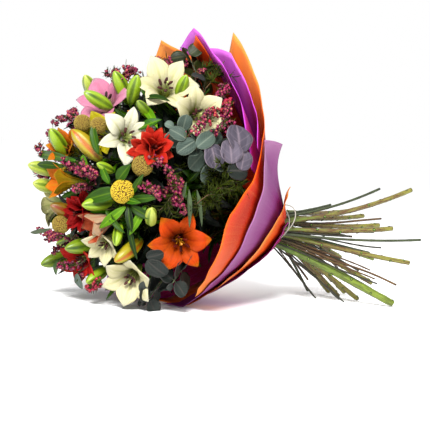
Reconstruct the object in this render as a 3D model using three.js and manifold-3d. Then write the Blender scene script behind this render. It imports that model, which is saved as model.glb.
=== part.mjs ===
// A large hand-tied bouquet of lilies, alstroemeria, craspedia, boronia and eucalyptus, collared in
// orange and purple paper and lying on its side. Its head points to -X and its cut stems to +X, and it
// rests on the hem of its lowest sheet and on cut stem ends, at z = 0. Every stem runs from its flowers
// through the tie.
// Millimetres and degrees.
import * as THREE from "three";
import { mergeVertices } from "three/addons/utils/BufferGeometryUtils.js";
import { LoftGeometry } from "three/addons/geometries/LoftGeometry.js";
import Module from "manifold-3d";

const wasm = await Module();
wasm.setup();
const { Manifold, Mesh } = wasm;

// The whole bouquet
const AXIS_TILT = 13; // the axis rises towards the head, because the head is wider than the fan of stems
const TIE_HEIGHT = 133; // middle of the tie above the surface
const DOME_CENTRE = 205; // from the tie to the middle of the dome of flowers
const FORK_START = 100; // on the axis, the point that the flower clusters open out from
const FORK_SHARE = 0.7; // how far from there to its flowers a stem forks
const GAP = 0.4; // clearance kept between neighbours
const SLIVER = 0.08; // details smaller than this are smoothed away after a cut

// The stems at the tie and below it
const WAIST_RADIUS = 31;
const STEM_SPIRAL = 0.019; // how fast the stems turn round the axis, per millimetre
const HEAD_SPREAD = 5.8e-5; // how fast they open out above the tie, per square millimetre
const FAN_LENGTH = 290;
const FAN_DROP = 26; // the fan of cut stems sinks this far at FAN_LENGTH
const FAN_TALLER = 0.45; // and is this much taller there than it is deep
const FAN_SOFT = 0.17; // the share of FAN_LENGTH over which both set in

// The paper collar, as a bowl that opens from the tie
const PAPER_THICKNESS = 0.9;
const PAPER_LAYER = 2.6;
const LOWEST_LAYER = 5; // the sheet of this layer is the one that lies on the surface
const PAPER_STEP = 12; // degrees round the axis between the columns of every sheet
const PAPER_WAVE = 4;
const BOWL_START_RADIUS = 34.5;
const BOWL_START_ALONG = -4;
const BOWL_START_ANGLE = 47;
const BOWL_END_ANGLE = 38;
const BOWL_CURVED = 100; // beyond this length it runs straight
const PAPER_HEM = 22; // the width of the last band along the rim

const rad = THREE.MathUtils.degToRad;
const vec = (x, y, z) => new THREE.Vector3(x, y, z);
const AXIS = vec(-Math.cos(rad(AXIS_TILT)), 0, Math.sin(rad(AXIS_TILT)));
const UP = vec(Math.sin(rad(AXIS_TILT)), 0, Math.cos(rad(AXIS_TILT)));
const NEAR = vec(0, -1, 0);
const TIE = vec(0, 0, TIE_HEIGHT);

const add = (a, b, k = 1) => a.clone().addScaledVector(b, k);
const mix = (a, b, t) => a.clone().lerp(b, t);
const onAxis = (along) => add(TIE, AXIS, along);
const DOME = onAxis(DOME_CENTRE);

// A direction from the dome's middle: around is 0 at the top and 90 at the near side, out is 0 at the front.
function heading([around, out]) {
  const side = Math.sin(rad(out));
  return AXIS.clone()
    .multiplyScalar(Math.cos(rad(out)))
    .addScaledVector(UP, side * Math.cos(rad(around)))
    .addScaledVector(NEAR, side * Math.sin(rad(around)));
}
const spot = ([around, out, reach]) => add(DOME, heading([around, out]), reach);

// A repeatable draw from 0 to 1
function draws(seed) {
  let state = seed;
  return () => {
    state = (state * 16807) % 2147483647;
    return state / 2147483647;
  };
}

// Solids

function solid(geometry) {
  const plain = new THREE.BufferGeometry()
    .setAttribute("position", geometry.getAttribute("position"))
    .setIndex(geometry.getIndex());
  const merged = mergeVertices(plain, 1e-4);
  return new Manifold(
    new Mesh({
      numProp: 3,
      vertProperties: new Float32Array(merged.attributes.position.array),
      triVerts: new Uint32Array(merged.index.array),
    }),
  );
}

// Rings across a path: e1 x e2 is the path's direction at each point.
function framesAlong(points, hint) {
  let side = hint ? hint.clone() : vec(0.31, 0.9, 0.29);
  return points.map((p, i) => {
    const ahead = points[Math.min(i + 1, points.length - 1)];
    const behind = points[Math.max(i - 1, 0)];
    const along = ahead.clone().sub(behind).normalize();
    side = add(side, along, -side.dot(along)).normalize();
    return { p, along, e1: side.clone(), e2: along.clone().cross(side) };
  });
}

function ring({ p, e1, e2 }, radius, sides, ridge = 0) {
  return Array.from({ length: sides }, (_, k) => {
    const angle = (2 * Math.PI * k) / sides;
    const r = radius * (k % 2 ? 1 - ridge : 1);
    const at = add(add(p, e1, r * Math.cos(angle)), e2, r * Math.sin(angle));
    at.z = Math.max(at.z, 0);
    return at;
  });
}

function tube(points, radii, sides, ridge = 0) {
  const frames = framesAlong(points);
  const rings = frames.map((f, i) => ring(f, radii[i], sides, ridge));
  return solid(new LoftGeometry(rings, { capStart: true, capEnd: true }));
}

// A closed sheet between two grids of points, cut into triangles alike on both faces. The top is the
// side that rows x columns points to.
function shell(top, bottom) {
  const rows = top.length;
  const columns = top[0].length;
  const index = [];
  const at = (face, i, j) => (face * rows + i) * columns + j;
  const quad = (a, b, c, d) => index.push(a, b, d, b, c, d);
  for (let i = 0; i < rows - 1; i++) {
    for (let j = 0; j < columns - 1; j++) {
      quad(at(0, i, j), at(0, i + 1, j), at(0, i + 1, j + 1), at(0, i, j + 1));
      const [a, b, c, d] = [at(1, i, j), at(1, i + 1, j), at(1, i + 1, j + 1), at(1, i, j + 1)];
      index.push(b, a, d, c, b, d);
    }
    const last = columns - 1;
    quad(at(0, i, 0), at(1, i, 0), at(1, i + 1, 0), at(0, i + 1, 0));
    quad(at(1, i, last), at(0, i, last), at(0, i + 1, last), at(1, i + 1, last));
  }
  for (let j = 0; j < columns - 1; j++) {
    const end = rows - 1;
    quad(at(1, 0, j), at(0, 0, j), at(0, 0, j + 1), at(1, 0, j + 1));
    quad(at(0, end, j), at(1, end, j), at(1, end, j + 1), at(0, end, j + 1));
  }
  const points = [...top.flat(), ...bottom.flat()];
  return solid(new THREE.BufferGeometry().setFromPoints(points).setIndex(index));
}

// A leaf or petal: its spine's frames, with e1 across it and e2 out of its upper face, half-widths,
// and how far its edges rise; grow fattens it on every side, to cut its neighbours clear of it.
function blade(frames, halves, { thickness = 1, cup = 0, grow = 0, columns = 2 }) {
  const face = (side) =>
    frames.map(({ p, along, e1, e2 }, i) => {
      const end = i === 0 ? -1 : i === frames.length - 1 ? 1 : 0;
      return Array.from({ length: columns + 1 }, (_, j) => {
        const across = (2 * j) / columns - 1;
        const lift = halves[i] * cup * across * across;
        const half = halves[i] + grow;
        const thick = thickness / 2 + grow;
        return add(add(add(p, e1, across * half), e2, lift + side * thick), along, end * grow);
      });
    });
  return shell(face(1), face(-1));
}

// Blooms: six petals that share their edges up to where they part, as one closed funnel

const LILY = { width: 0.16, start: 10, narrow: 0.8, cup: 0.3 };
const ALSTROEMERIA = { width: 0.24, start: 22, narrow: 0.75, cup: 0.2 };
const PETAL_STEPS = [0, 0.3, 0.56, 0.82];
const FLOOR_OF_THROAT = 0.14;
const PETAL_THICKNESS = 1.2;

// A point on a petal's spine, as distances out from the bloom's axis and forward along it
function petalSpine(bloom, u, share) {
  const bend = 25 + 92 * bloom.open * share;
  const fine = 12;
  let [out, ahead] = [3.4, 0];
  for (let k = 0; k < fine * u - 1e-6; k++) {
    const part = Math.min(1, fine * u - k);
    const angle = rad(bloom.shape.start + (bend - bloom.shape.start) * Math.pow((k + 0.5) / fine, 1.15));
    out += (Math.sin(angle) * bloom.length * part) / fine;
    ahead += (Math.cos(angle) * bloom.length * part) / fine;
  }
  const angle = rad(bloom.shape.start + (bend - bloom.shape.start) * Math.pow(u, 1.15));
  return { out, ahead, lean: angle };
}

function bloomSolid(bloom, grow) {
  const facing = heading(bloom.face);
  const helper = Math.abs(facing.z) > 0.9 ? vec(1, 0, 0) : vec(0, 0, 1);
  const first = helper.clone().cross(facing).normalize();
  const petals = Array.from({ length: 6 }, (_, k) => petalGrid(bloom, facing, first, k, grow));
  const points = [];
  const index = [];
  const put = (p) => points.push(p) - 1;
  const triangle = (turn, a, b, c) => index.push(...(turn > 0 ? [a, b, c] : [a, c, b]));
  const rings = [0, 1].map((side) =>
    [0, 1, 2].map((i) =>
      petals.map((petal, k) => {
        const row = petal[side][i];
        const next = petals[(k + 1) % 6][side][i];
        return { middle: put(row[1]), edge: put(mix(row[2], next[0], 0.5)) };
      }),
    ),
  );
  petals.forEach((petal, k) => {
    const sides = [0, 1].map((side) => {
      const turn = side ? -1 : 1;
      const shared = rings[side].map((r) => [r[(k + 5) % 6].edge, r[k].middle, r[k].edge]);
      const rows = [...shared, petal[side][3].map(put)];
      const tip = put(petal[side][4][1]);
      for (let i = 0; i < 3; i++) {
        for (let j = 0; j < 2; j++) {
          triangle(turn, rows[i][j], rows[i + 1][j], rows[i][j + 1]);
          triangle(turn, rows[i + 1][j], rows[i + 1][j + 1], rows[i][j + 1]);
        }
      }
      triangle(turn, rows[3][0], tip, rows[3][1]);
      triangle(turn, rows[3][1], tip, rows[3][2]);
      return [0, 2].map((j) => [rows[2][j], rows[3][j], tip]);
    });
    for (const j of [0, 1]) {
      const [top, low] = [sides[0][j], sides[1][j]];
      for (let i = 0; i < 2; i++) {
        triangle(j ? -1 : 1, top[i], low[i], top[i + 1]);
        triangle(j ? -1 : 1, low[i], low[i + 1], top[i + 1]);
      }
    }
  });
  rings.forEach((rows, side) => {
    const loop = rows[0].flatMap(({ middle, edge }) => [middle, edge]);
    const centre = put(centreOf(loop.map((i) => points[i])));
    loop.forEach((a, i) => triangle(side ? -1 : 1, a, loop[(i + 1) % loop.length], centre));
  });
  return solid(new THREE.BufferGeometry().setFromPoints(points).setIndex(index));
}

// Both faces of one petal, the upper first, as rows of three points: left edge, middle and right edge
function petalGrid(bloom, facing, first, k, grow) {
  const share = k % 2 ? 1.05 : 0.95;
  const turn = rad(60 * k + (bloom.roll ?? 0));
  const width = bloom.length * (k % 2 ? bloom.shape.narrow : 1);
  const outward = first.clone().applyAxisAngle(facing, turn);
  const across = facing.clone().cross(outward);
  return [1, -1].map((sign) =>
    [...PETAL_STEPS, 1].map((u, i) => {
      const low = i === 0 && sign > 0 ? FLOOR_OF_THROAT : u;
      const { out, ahead, lean } = petalSpine(bloom, low, share);
      const normal = facing.clone().multiplyScalar(Math.sin(lean)).addScaledVector(outward, -Math.cos(lean));
      const end = i === 4 ? grow : i === 0 && sign < 0 ? -grow : 0;
      const tangent = facing.clone().multiplyScalar(Math.cos(lean)).addScaledVector(outward, Math.sin(lean));
      const spine = add(add(add(bloom.base, outward, out), facing, ahead), tangent, end);
      const half = i > 2 ? bloom.shape.width * width + grow : out * Math.tan(rad(30));
      const rise = half * bloom.shape.cup;
      const thick = sign * (PETAL_THICKNESS / 2 + grow);
      return [-1, 0, 1].map((j) => add(add(spine, across, j * half), normal, thick + (j ? rise : 0)));
    }),
  );
}

// Buds, leaves and the stems that they stand on

const BUD_GIRTH = 0.36;
const BUD_PROFILE = [
  [0, 0.3],
  [0.28, 0.9],
  [0.7, 0.88],
  [1, 0.12],
];

function budSolid(plant, bud, grow) {
  const along = bud.end.clone().sub(bud.base).normalize();
  const base = add(bud.base, along, -grow);
  const tip = add(bud.end, along, grow);
  const points = BUD_PROFILE.map(([u]) => mix(base, tip, u));
  const radii = BUD_PROFILE.map(([, r]) => (r * bud.length * BUD_GIRTH) / 2 + grow);
  return tube(points, radii, 6, 0.12);
}

const LEAF_HALVES = [0.35, 1, 0.08];

function leafSolid({ root, out, droop, length, half }, grow) {
  const steps = LEAF_HALVES.length - 1;
  const points = LEAF_HALVES.map((_, k) => {
    const u = k / steps;
    return add(add(root, out, length * u), droop, length * 0.35 * u * u);
  });
  const across = out.clone().cross(droop).normalize();
  const frames = framesAlong(points, across);
  const halves = LEAF_HALVES.map((h) => Math.max(h * half, 0.7));
  return blade(frames, halves, { thickness: 1, grow, columns: 1 });
}

// How far the stems have turned and opened out at a distance along the axis from the tie
const turnAt = (along) => Math.atan(STEM_SPIRAL * along);
const spreadAt = (along) =>
  Math.sqrt(1 + (STEM_SPIRAL * along) ** 2) + (along > 0 ? HEAD_SPREAD * along * along : 0);

function flat(point) {
  const from = point.clone().sub(TIE);
  return { along: from.dot(AXIS), side: new THREE.Vector2(from.dot(UP), from.dot(NEAR)) };
}

// Where each stem crosses the tie: its fork carried back to there, then pushed apart until none touches
function packWaist(plants) {
  for (const plant of plants) {
    const { along, side } = flat(plant.fork);
    plant.forkAlong = along;
    plant.wanted = side
      .clone()
      .rotateAround(new THREE.Vector2(), -turnAt(along))
      .divideScalar(spreadAt(along));
    plant.waist = plant.wanted.clone();
  }
  for (let pass = 0; pass < 400; pass++) {
    plants.forEach((a, i) => {
      for (const b of plants.slice(i + 1)) {
        const between = b.waist.clone().sub(a.waist);
        const short = a.thick + b.thick + 0.9 - between.length();
        if (short > 0) {
          between.setLength(short / 2 + 0.01);
          a.waist.sub(between);
          b.waist.add(between);
        }
      }
      const room = WAIST_RADIUS - a.thick;
      if (a.waist.length() > room) a.waist.setLength(room);
    });
  }
}

function stemPoint(plant, along) {
  const moved = plant.waist.clone().sub(plant.wanted);
  const fade = along > 0 ? 1 - along / plant.forkAlong : 1;
  const side = plant.wanted
    .clone()
    .addScaledVector(moved, fade)
    .rotateAround(new THREE.Vector2(), turnAt(along))
    .multiplyScalar(spreadAt(along));
  const below = along < 0 ? fanShare(along / FAN_LENGTH) : 0;
  const rise = side.x * (1 + FAN_TALLER * below) - FAN_DROP * below;
  const p = add(add(onAxis(along), UP, rise), NEAR, side.y);
  p.z = Math.max(p.z, plant.thick * 0.8);
  return p;
}

function fanShare(x) {
  return (Math.hypot(x, FAN_SOFT) - FAN_SOFT) / (Math.hypot(1, FAN_SOFT) - FAN_SOFT);
}

const STEM_STATIONS = [-1, -0.45, 0, 0.5, 0.93, 1];
const SHOOT_RADIUS = 1.6;

function stemSolid(plant, grow) {
  const points = STEM_STATIONS.map((k) =>
    stemPoint(plant, k < 0 ? -k * -plant.below : k * plant.forkAlong),
  );
  const radii = STEM_STATIONS.map((k) => plant.thick * (k < 0 ? 1 : 1 - 0.3 * k) + grow);
  radii[radii.length - 1] = Math.max(plant.thick * 0.7, shootCircle(plant) + SHOOT_RADIUS + 0.6) + grow;
  return tube(points, radii, plant.thick > 3 ? 5 : 3);
}

// The shoots leave the swollen end of the stem side by side, in the order that their ends stand in.
function shootCircle({ ends }) {
  return ends.length > 1 ? (1.15 * SHOOT_RADIUS) / Math.sin(Math.PI / Math.max(ends.length, 3)) : 0;
}

function shootRoot(plant, k) {
  const along = stemDirection(plant);
  const u = vec(0, 0, 1).cross(along).normalize();
  const v = along.clone().cross(u);
  const angles = plant.ends.map((end) => {
    const from = end.clone().sub(plant.fork);
    return Math.atan2(from.dot(v), from.dot(u));
  });
  const order = angles.map((_, i) => i).sort((a, b) => angles[a] - angles[b]);
  const place = order.indexOf(k);
  const shift = centreAngle(order.map((i, n) => angles[i] - (2 * Math.PI * n) / order.length));
  const angle = shift + (2 * Math.PI * place) / order.length;
  const off = shootCircle(plant);
  return add(add(add(plant.fork, u, off * Math.cos(angle)), v, off * Math.sin(angle)), along, -1.5);
}

const centreAngle = (angles) =>
  Math.atan2(
    angles.reduce((sum, a) => sum + Math.sin(a), 0),
    angles.reduce((sum, a) => sum + Math.cos(a), 0),
  );

function stalkSolid(plant, k, end, thick, grow) {
  const start = shootRoot(plant, k);
  const middle = add(mix(start, end, 0.5), stemDirection(plant), start.distanceTo(end) * 0.08);
  return tube([start, middle, end], [SHOOT_RADIUS + grow, SHOOT_RADIUS + grow, thick + grow], 3);
}

function stemDirection(plant) {
  const below = stemPoint(plant, plant.forkAlong - 12);
  return plant.fork.clone().sub(below).normalize();
}

// What grows in the bouquet. Places are [around, out, reach] from the dome's middle, faces [around, out].

const lilies = [
  {
    name: "pink_lily",
    blooms: [
      { name: "pink_lily_bloom", at: [357, 37, 170], face: [41, 30], length: 80, open: 0.72, roll: 10 },
    ],
    buds: [
      { tip: [339, 43, 219], foot: [326, 48, 174] },
      { tip: [11, 29, 216], foot: [13, 35, 167] },
      { tip: [8, 45, 212], foot: [5, 47, 152] },
      { tip: [26, 50, 212], foot: [20, 44, 163] },
    ],
    leaves: 2,
  },
  {
    name: "white_lily_1",
    blooms: [
      { name: "white_lily_bloom_1", at: [65, 39, 186], face: [84, 74], length: 68, open: 0.85, roll: 22 },
    ],
    buds: [
      { tip: [46, 46, 208], foot: [47, 50, 168] },
    ],
    leaves: 2,
  },
  {
    name: "white_lily_2",
    blooms: [
      { name: "white_lily_bloom_2", at: [27, 62, 182], face: [64, 60], length: 80, open: 0.66, roll: 0 },
    ],
    buds: [
      { tip: [33, 69, 212], foot: [30, 68, 166] },
    ],
    leaves: 2,
  },
  {
    name: "white_lily_3",
    blooms: [
      { name: "white_lily_bloom_3", at: [51, 72, 184], face: [88, 73], length: 72, open: 0.5, roll: 40 },
    ],
    buds: [],
    leaves: 2,
  },
  {
    name: "white_lily_4",
    blooms: [
      { name: "white_lily_bloom_4", at: [148, 69, 186], face: [135, 54], length: 72, open: 0.46, roll: 15 },
    ],
    buds: [
      { tip: [166, 58, 210], foot: [168, 63, 164] },
    ],
    leaves: 2,
  },
  {
    name: "white_lily_5",
    blooms: [
      { name: "white_lily_bloom_5", at: [144, 49, 178], face: [151, 49], length: 56, open: 0.4, roll: 35 },
    ],
    buds: [
      { tip: [131, 53, 208], foot: [126, 48, 173] },
      { tip: [126, 32, 208], foot: [120, 37, 157] },
    ],
    leaves: 2,
  },
  {
    name: "orange_lily_1",
    blooms: [
      { name: "orange_lily_bloom_1", at: [117, 77, 178], face: [105, 66], length: 70, open: 0.85, roll: 8 },
    ],
    buds: [
      { tip: [105, 58, 206], foot: [116, 61, 172] },
    ],
    leaves: 2,
  },
  {
    name: "orange_lily_2",
    blooms: [
      { name: "orange_lily_bloom_2", at: [155, 12, 180], face: [217, 17], length: 62, open: 0.18, roll: 20 },
      { name: "orange_lily_bloom_3", at: [321, 7, 176], face: [73, 16], length: 54, open: 0.4, roll: 0 },
    ],
    buds: [
      { tip: [258, 25, 216], foot: [260, 34, 170] },
      { tip: [348, 10, 216], foot: [282, 9, 168] },
      { tip: [210, 15, 214], foot: [226, 22, 166] },
    ],
    leaves: 2,
  },
  {
    name: "salmon_lily",
    blooms: [
      { name: "salmon_lily_bloom", at: [134, 41, 178], face: [190, 39], length: 66, open: 0.14, roll: 0 },
    ],
    buds: [
      { tip: [139, 57, 208], foot: [131, 62, 155] },
      { tip: [164, 22, 208], foot: [167, 31, 159] },
    ],
    leaves: 2,
  },
  {
    name: "red_lily",
    blooms: [
      { name: "red_lily_bloom", at: [174, 51, 180], face: [153, 40], length: 62, open: 0.5, roll: 28 },
    ],
    buds: [
      { tip: [165, 41, 208], foot: [166, 48, 152] },
      { tip: [202, 52, 226], foot: [208, 60, 177] },
    ],
    leaves: 2,
  },
  {
    name: "yellow_lily",
    blooms: [
      { name: "yellow_lily_bloom", at: [48, 25, 170], face: [89, 24], length: 60, open: 0.6, roll: 0 },
    ],
    buds: [
      { tip: [46, 16, 210], foot: [83, 23, 166] },
      { tip: [91, 30, 206], foot: [93, 33, 171] },
    ],
    leaves: 2,
  },
  {
    name: "white_lily_6",
    blooms: [
      { name: "white_lily_bloom_6", at: [242, 50, 186], face: [244, 50], length: 64, open: 0.9, roll: 0 },
    ],
    buds: [
      { tip: [228, 66, 210], foot: [228, 70, 158] },
    ],
    leaves: 2,
  },
  {
    name: "pink_lily_2",
    blooms: [
      { name: "pink_lily_bloom_2", at: [296, 62, 184], face: [296, 60], length: 64, open: 0.85, roll: 20 },
    ],
    buds: [
      { tip: [318, 56, 212], foot: [318, 60, 158] },
    ],
    leaves: 2,
  },
  {
    name: "bud_lily",
    stem: 6.3,
    blooms: [],
    buds: [
      { tip: [262, 76, 208], foot: [262, 80, 152] },
      { tip: [278, 84, 204], foot: [278, 88, 152] },
    ],
    leaves: 2,
  },
];

const alstroemerias = [
  { name: "alstroemeria_1", at: [74, 52, 193], face: [84, 66], length: 40, open: 0.5, roll: 15 },
  { name: "alstroemeria_2", at: [146, 30, 186], face: [150, 24], length: 40, open: 0.42, roll: 0 },
];

const craspedias = [
  { name: "craspedia_1", at: [104, 43, 188], radius: 17.5 },
  { name: "craspedia_2", at: [85, 48, 186], radius: 15.5 },
  { name: "craspedia_3", at: [37, 20, 200], radius: 13 },
  { name: "craspedia_4", at: [52, 27, 198], radius: 12.5 },
  { name: "craspedia_5", at: [167, 31, 196], radius: 14 },
  { name: "craspedia_6", at: [266, 56, 186], radius: 16 },
];

const boronias = [
  { name: "boronia_1", tips: [[104, 20, 202], [122, 24, 202], [98, 10, 204]] },
  { name: "boronia_2", tips: [[213, 41, 208], [187, 43, 206], [172, 56, 204]] },
  { name: "boronia_3", tips: [[88, 62, 194], [99, 66, 190], [96, 55, 192]] },
  { name: "boronia_4", tips: [[54, 88, 192], [62, 78, 192], [42, 84, 200]] },
  { name: "boronia_5", tips: [[2, 68, 206], [344, 62, 206], [14, 76, 206]] },
  { name: "boronia_6", tips: [[284, 46, 206], [258, 38, 206], [240, 62, 206]] },
];

const eucalypts = [
  { name: "eucalyptus_1", tip: [62, 60, 194], sway: [74, 96, 176], pairs: 5 },
  { name: "eucalyptus_2", tip: [150, 80, 204], sway: [147, 84, 178], pairs: 4 },
  { name: "eucalyptus_3", tip: [135, 83, 200], sway: [129, 87, 174], pairs: 4 },
  { name: "eucalyptus_4", tip: [6, 80, 222], sway: [22, 84, 186], pairs: 5 },
  { name: "eucalyptus_5", tip: [228, 80, 212], sway: [220, 76, 180], pairs: 4 },
];

const needleSpray = { name: "waxflower_foliage", tips: [[84, 90, 178], [96, 80, 184], [74, 84, 184]] };

// Every plant has a fork, where its stem ends and its flowers or twigs begin.

const FORK_BASE = onAxis(FORK_START);
const centreOf = (points) =>
  points.reduce((sum, p) => sum.add(p), vec(0, 0, 0)).divideScalar(points.length);

function preparePlants() {
  const all = [];
  const random = draws(11);
  const plant = (kind, data, points, thick) => {
    const made = { kind, thick, ends: points, ...data };
    made.fork = mix(FORK_BASE, centreOf(points), FORK_SHARE);
    made.below = FAN_LENGTH * (thick > 3 ? 0.72 + 0.32 * random() : 0.5 + 0.48 * random());
    all.push(made);
    return made;
  };
  for (const lily of lilies) {
    for (const bloom of lily.blooms) {
      bloom.shape = LILY;
      bloom.base = add(spot(bloom.at), heading(bloom.face), -bloom.length * 0.5);
    }
    for (const bud of lily.buds) {
      [bud.end, bud.base] = [spot(bud.tip), spot(bud.foot)];
      bud.length = bud.end.distanceTo(bud.base);
    }
    const ends = [...lily.blooms.map((b) => b.base), ...lily.buds.map((b) => b.end)];
    plant("lily", lily, ends, lily.stem ?? 4.1);
  }
  for (const flower of alstroemerias) {
    const bloom = { ...flower, name: flower.name + "_bloom", shape: ALSTROEMERIA };
    bloom.base = add(spot(flower.at), heading(flower.face), -flower.length * 0.5);
    plant("lily", { name: flower.name, blooms: [bloom], buds: [], leaves: 2 }, [bloom.base], 2.6);
  }
  for (const ball of craspedias) plant("craspedia", ball, [spot(ball.at)], 1.8);
  for (const spray of boronias) plant("spray", spray, spray.tips.map(spot), 2);
  for (const branch of eucalypts) plant("eucalyptus", branch, [spot(branch.sway)], 2.3);
  plant("needles", needleSpray, needleSpray.tips.map(spot), 2);
  packWaist(all);
  return all;
}

// Cores: the stems and stalks, which nothing may cut

function corePieces(plant, grow) {
  const pieces = [stemSolid(plant, grow)];
  if (plant.kind === "lily") {
    plant.blooms.forEach((bloom, k) => {
      const end = add(bloom.base, heading(bloom.face), -GAP - 0.1);
      pieces.push(stalkSolid(plant, k, end, 2.6, grow));
    });
    plant.buds.forEach((bud, k) => {
      const end = mix(bud.base, bud.end, 0.08);
      pieces.push(stalkSolid(plant, k + plant.blooms.length, end, 2.1, grow));
    });
  }
  if (plant.kind === "craspedia") {
    pieces.push(tube([shootRoot(plant, 0), spot(plant.at)], [1.5 + grow, 1.4 + grow], 4));
  }
  if (plant.kind === "spray" || plant.kind === "needles") {
    plant.tips.forEach((tip, k) => pieces.push(twigSolid(twigCurve(plant, k), grow)));
  }
  if (plant.kind === "eucalyptus") pieces.push(twigSolid(branchCurve(plant), grow));
  return pieces;
}

const TWIG_BARE = 0.42; // the share of a twig before its first leaf or floret

function twigCurve(plant, k) {
  const [start, end] = [shootRoot(plant, k), spot(plant.tips[k])];
  const leave = add(start, stemDirection(plant), start.distanceTo(end) * 0.4);
  return new THREE.QuadraticBezierCurve3(start, leave, end);
}

function twigSolid(curve, grow) {
  const points = [0, 0.5, 1].map((u) => curve.getPoint(u * TWIG_BARE));
  return tube(points, [1.8, 1.6, 1.4].map((r) => r + grow), 3);
}

function branchCurve(plant) {
  return new THREE.QuadraticBezierCurve3(shootRoot(plant, 0), spot(plant.sway), spot(plant.tip));
}

// What stands on the cores, each as a function of grow

function leavesOf(plant) {
  const outward = plant.fork.clone().sub(onAxis(flat(plant.fork).along)).normalize();
  const random = draws(plant.name.length * 97 + Math.round(plant.forkAlong));
  return Array.from({ length: plant.leaves }, (_, k) => {
    const along = plant.forkAlong - 10 - 16 * k;
    const stem = stemPoint(plant, along);
    const spin = 137.5 * k + 60 * random() - 40;
    const side = outward.clone().applyAxisAngle(stemDirection(plant), rad(spin));
    const out = stemDirection(plant).multiplyScalar(0.85).addScaledVector(side, 0.6).normalize();
    const droop = side.clone().multiplyScalar(0.9).addScaledVector(out, -0.3).normalize();
    return { root: stem, out, droop, length: 82 + 16 * random(), half: 8 + 2 * random() };
  });
}

// A flowering twig end: florets strung close along it, each a swelling pushed to one side
function floretString(plant, k, grow) {
  const curve = twigCurve(plant, k);
  const random = draws(Math.round(plant.tips[k][0] * 7 + plant.tips[k][1]) + 3);
  const count = 3;
  const points = [];
  const radii = [];
  for (let i = 0; i <= 2 * count; i++) {
    const u = TWIG_BARE - 0.02 + (1.02 - TWIG_BARE) * (i / (2 * count));
    const push = vec(random() - 0.5, random() - 0.5, random() - 0.5).normalize();
    points.push(add(curve.getPoint(u), push, i % 2 ? 2.6 : 0));
    radii.push((i % 2 ? 5 + random() : 2) + grow);
  }
  return tube(points, radii, 4);
}

// A flat frond along a curve, with its half-width drawn in between leaves; each leaf turns on the curve.
function frond(curve, { from, count, width, turn, waist, grow, outward }) {
  const points = [];
  const halves = [];
  const turns = [];
  for (let k = 0; k < count; k++) {
    const step = (1 - from) / count;
    const size = width * (1 - 0.4 * (k / count));
    for (const [part, half] of [[0, waist], [0.3, size], [0.68, size]]) {
      points.push(curve.getPoint(from + step * (k + part)));
      halves.push(half);
      turns.push(rad(turn * (k % 2 ? 1 : -1)));
    }
  }
  points.push(curve.getPoint(1));
  halves.push(waist);
  turns.push(turns[turns.length - 1]);
  const along = curve.getTangent(0.7);
  const frames = framesAlong(points, along.cross(outward)).map((f, i) => ({
    ...f,
    e1: f.e1.clone().applyAxisAngle(f.along, turns[i]),
    e2: f.e2.clone().applyAxisAngle(f.along, turns[i]),
  }));
  return blade(frames, halves, { thickness: 1.2, grow, columns: 1 });
}

function eucalyptusFrond(plant, grow) {
  const outward = spot(plant.tip).sub(DOME).normalize();
  const shape = { from: TWIG_BARE - 0.02, count: plant.pairs, width: 18, turn: 28, waist: 2, grow, outward };
  return frond(branchCurve(plant), shape);
}

function needleFrond(plant, k, grow) {
  const outward = spot(plant.tips[k]).sub(DOME).normalize();
  const shape = { from: TWIG_BARE - 0.02, count: 3, width: 9, turn: 12, waist: 3, grow, outward };
  return frond(twigCurve(plant, k), shape);
}

function craspediaHead(plant, grow) {
  const across = 10;
  const down = 6;
  const ball = new THREE.SphereGeometry(plant.radius + grow, across, down);
  const at = ball.attributes.position;
  for (let i = 0; i < at.count; i++) {
    const row = Math.floor(i / (across + 1));
    const column = i % (across + 1);
    if (row === 0 || row === down || grow) continue;
    const push = (row + column) % 2 ? 0.95 : 1;
    at.setXYZ(i, at.getX(i) * push, at.getY(i) * push, at.getZ(i) * push);
  }
  const c = spot(plant.at);
  return solid(ball.translate(c.x, c.y, c.z));
}

// The paper: each sheet lies on the bowl, a layer further out than the last. Its rim is a line of corners
// [column round the axis, length from the tie along the bowl, how far it flares outwards there].
const papers = [
  {
    name: "paper_orange_top",
    layer: 0,
    rim: [[24, 230, 0], [27, 280, 0], [29, 330, 0], [30, 288, 0], [31, 332, 0], [32, 250, 0]],
  },
  {
    name: "paper_purple_top",
    layer: 1,
    rim: [[25, 262, 0], [29, 290, 0], [31, 344, 0], [33, 306, 0], [35, 246, 0], [36, 226, 0]],
  },
  {
    name: "paper_purple_panel",
    layer: 2,
    rim: [[29, 250, 0], [31, 300, 8], [32, 300, 24], [33, 250, 18], [35, 220, 6]],
  },
  {
    name: "paper_orange_near",
    layer: 3,
    rim: [[30, 200, 10], [31, 300, 52], [32, 262, 44], [34, 214, 16], [36, 226, 4], [38, 294, 0],
      [40, 280, 0], [42, 226, 0], [43, 186, 0]],
  },
  {
    name: "paper_purple_near",
    layer: 4,
    rim: [[34, 160, 30], [35, 236, 16], [37, 206, 6], [39, 204, 2], [42, 220, 0], [44, 236, 0]],
  },
  {
    name: "paper_orange_low",
    layer: 5,
    rim: [[34, 54, 16], [38, 112, 8], [41, 160, 4], [44, 220, 0], [46, 220, 0], [47, 200, 0]],
  },
  {
    name: "paper_purple_low",
    layer: 6,
    rim: [[37, 24, 5], [40, 80, 8], [42, 124, 4], [44, 176, 0], [48, 172, 0]],
  },
  {
    name: "paper_purple_far",
    layer: 2,
    rim: [[45, 216, 0], [47, 268, 0], [49, 250, 0], [52, 310, 0], [54, 262, 0], [56, 226, 0]],
  },
  {
    name: "paper_orange_far",
    layer: 3,
    rim: [[47, 206, 0], [50, 288, 0], [52, 250, 0], [55, 298, 0], [58, 232, 0]],
  },
];

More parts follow.
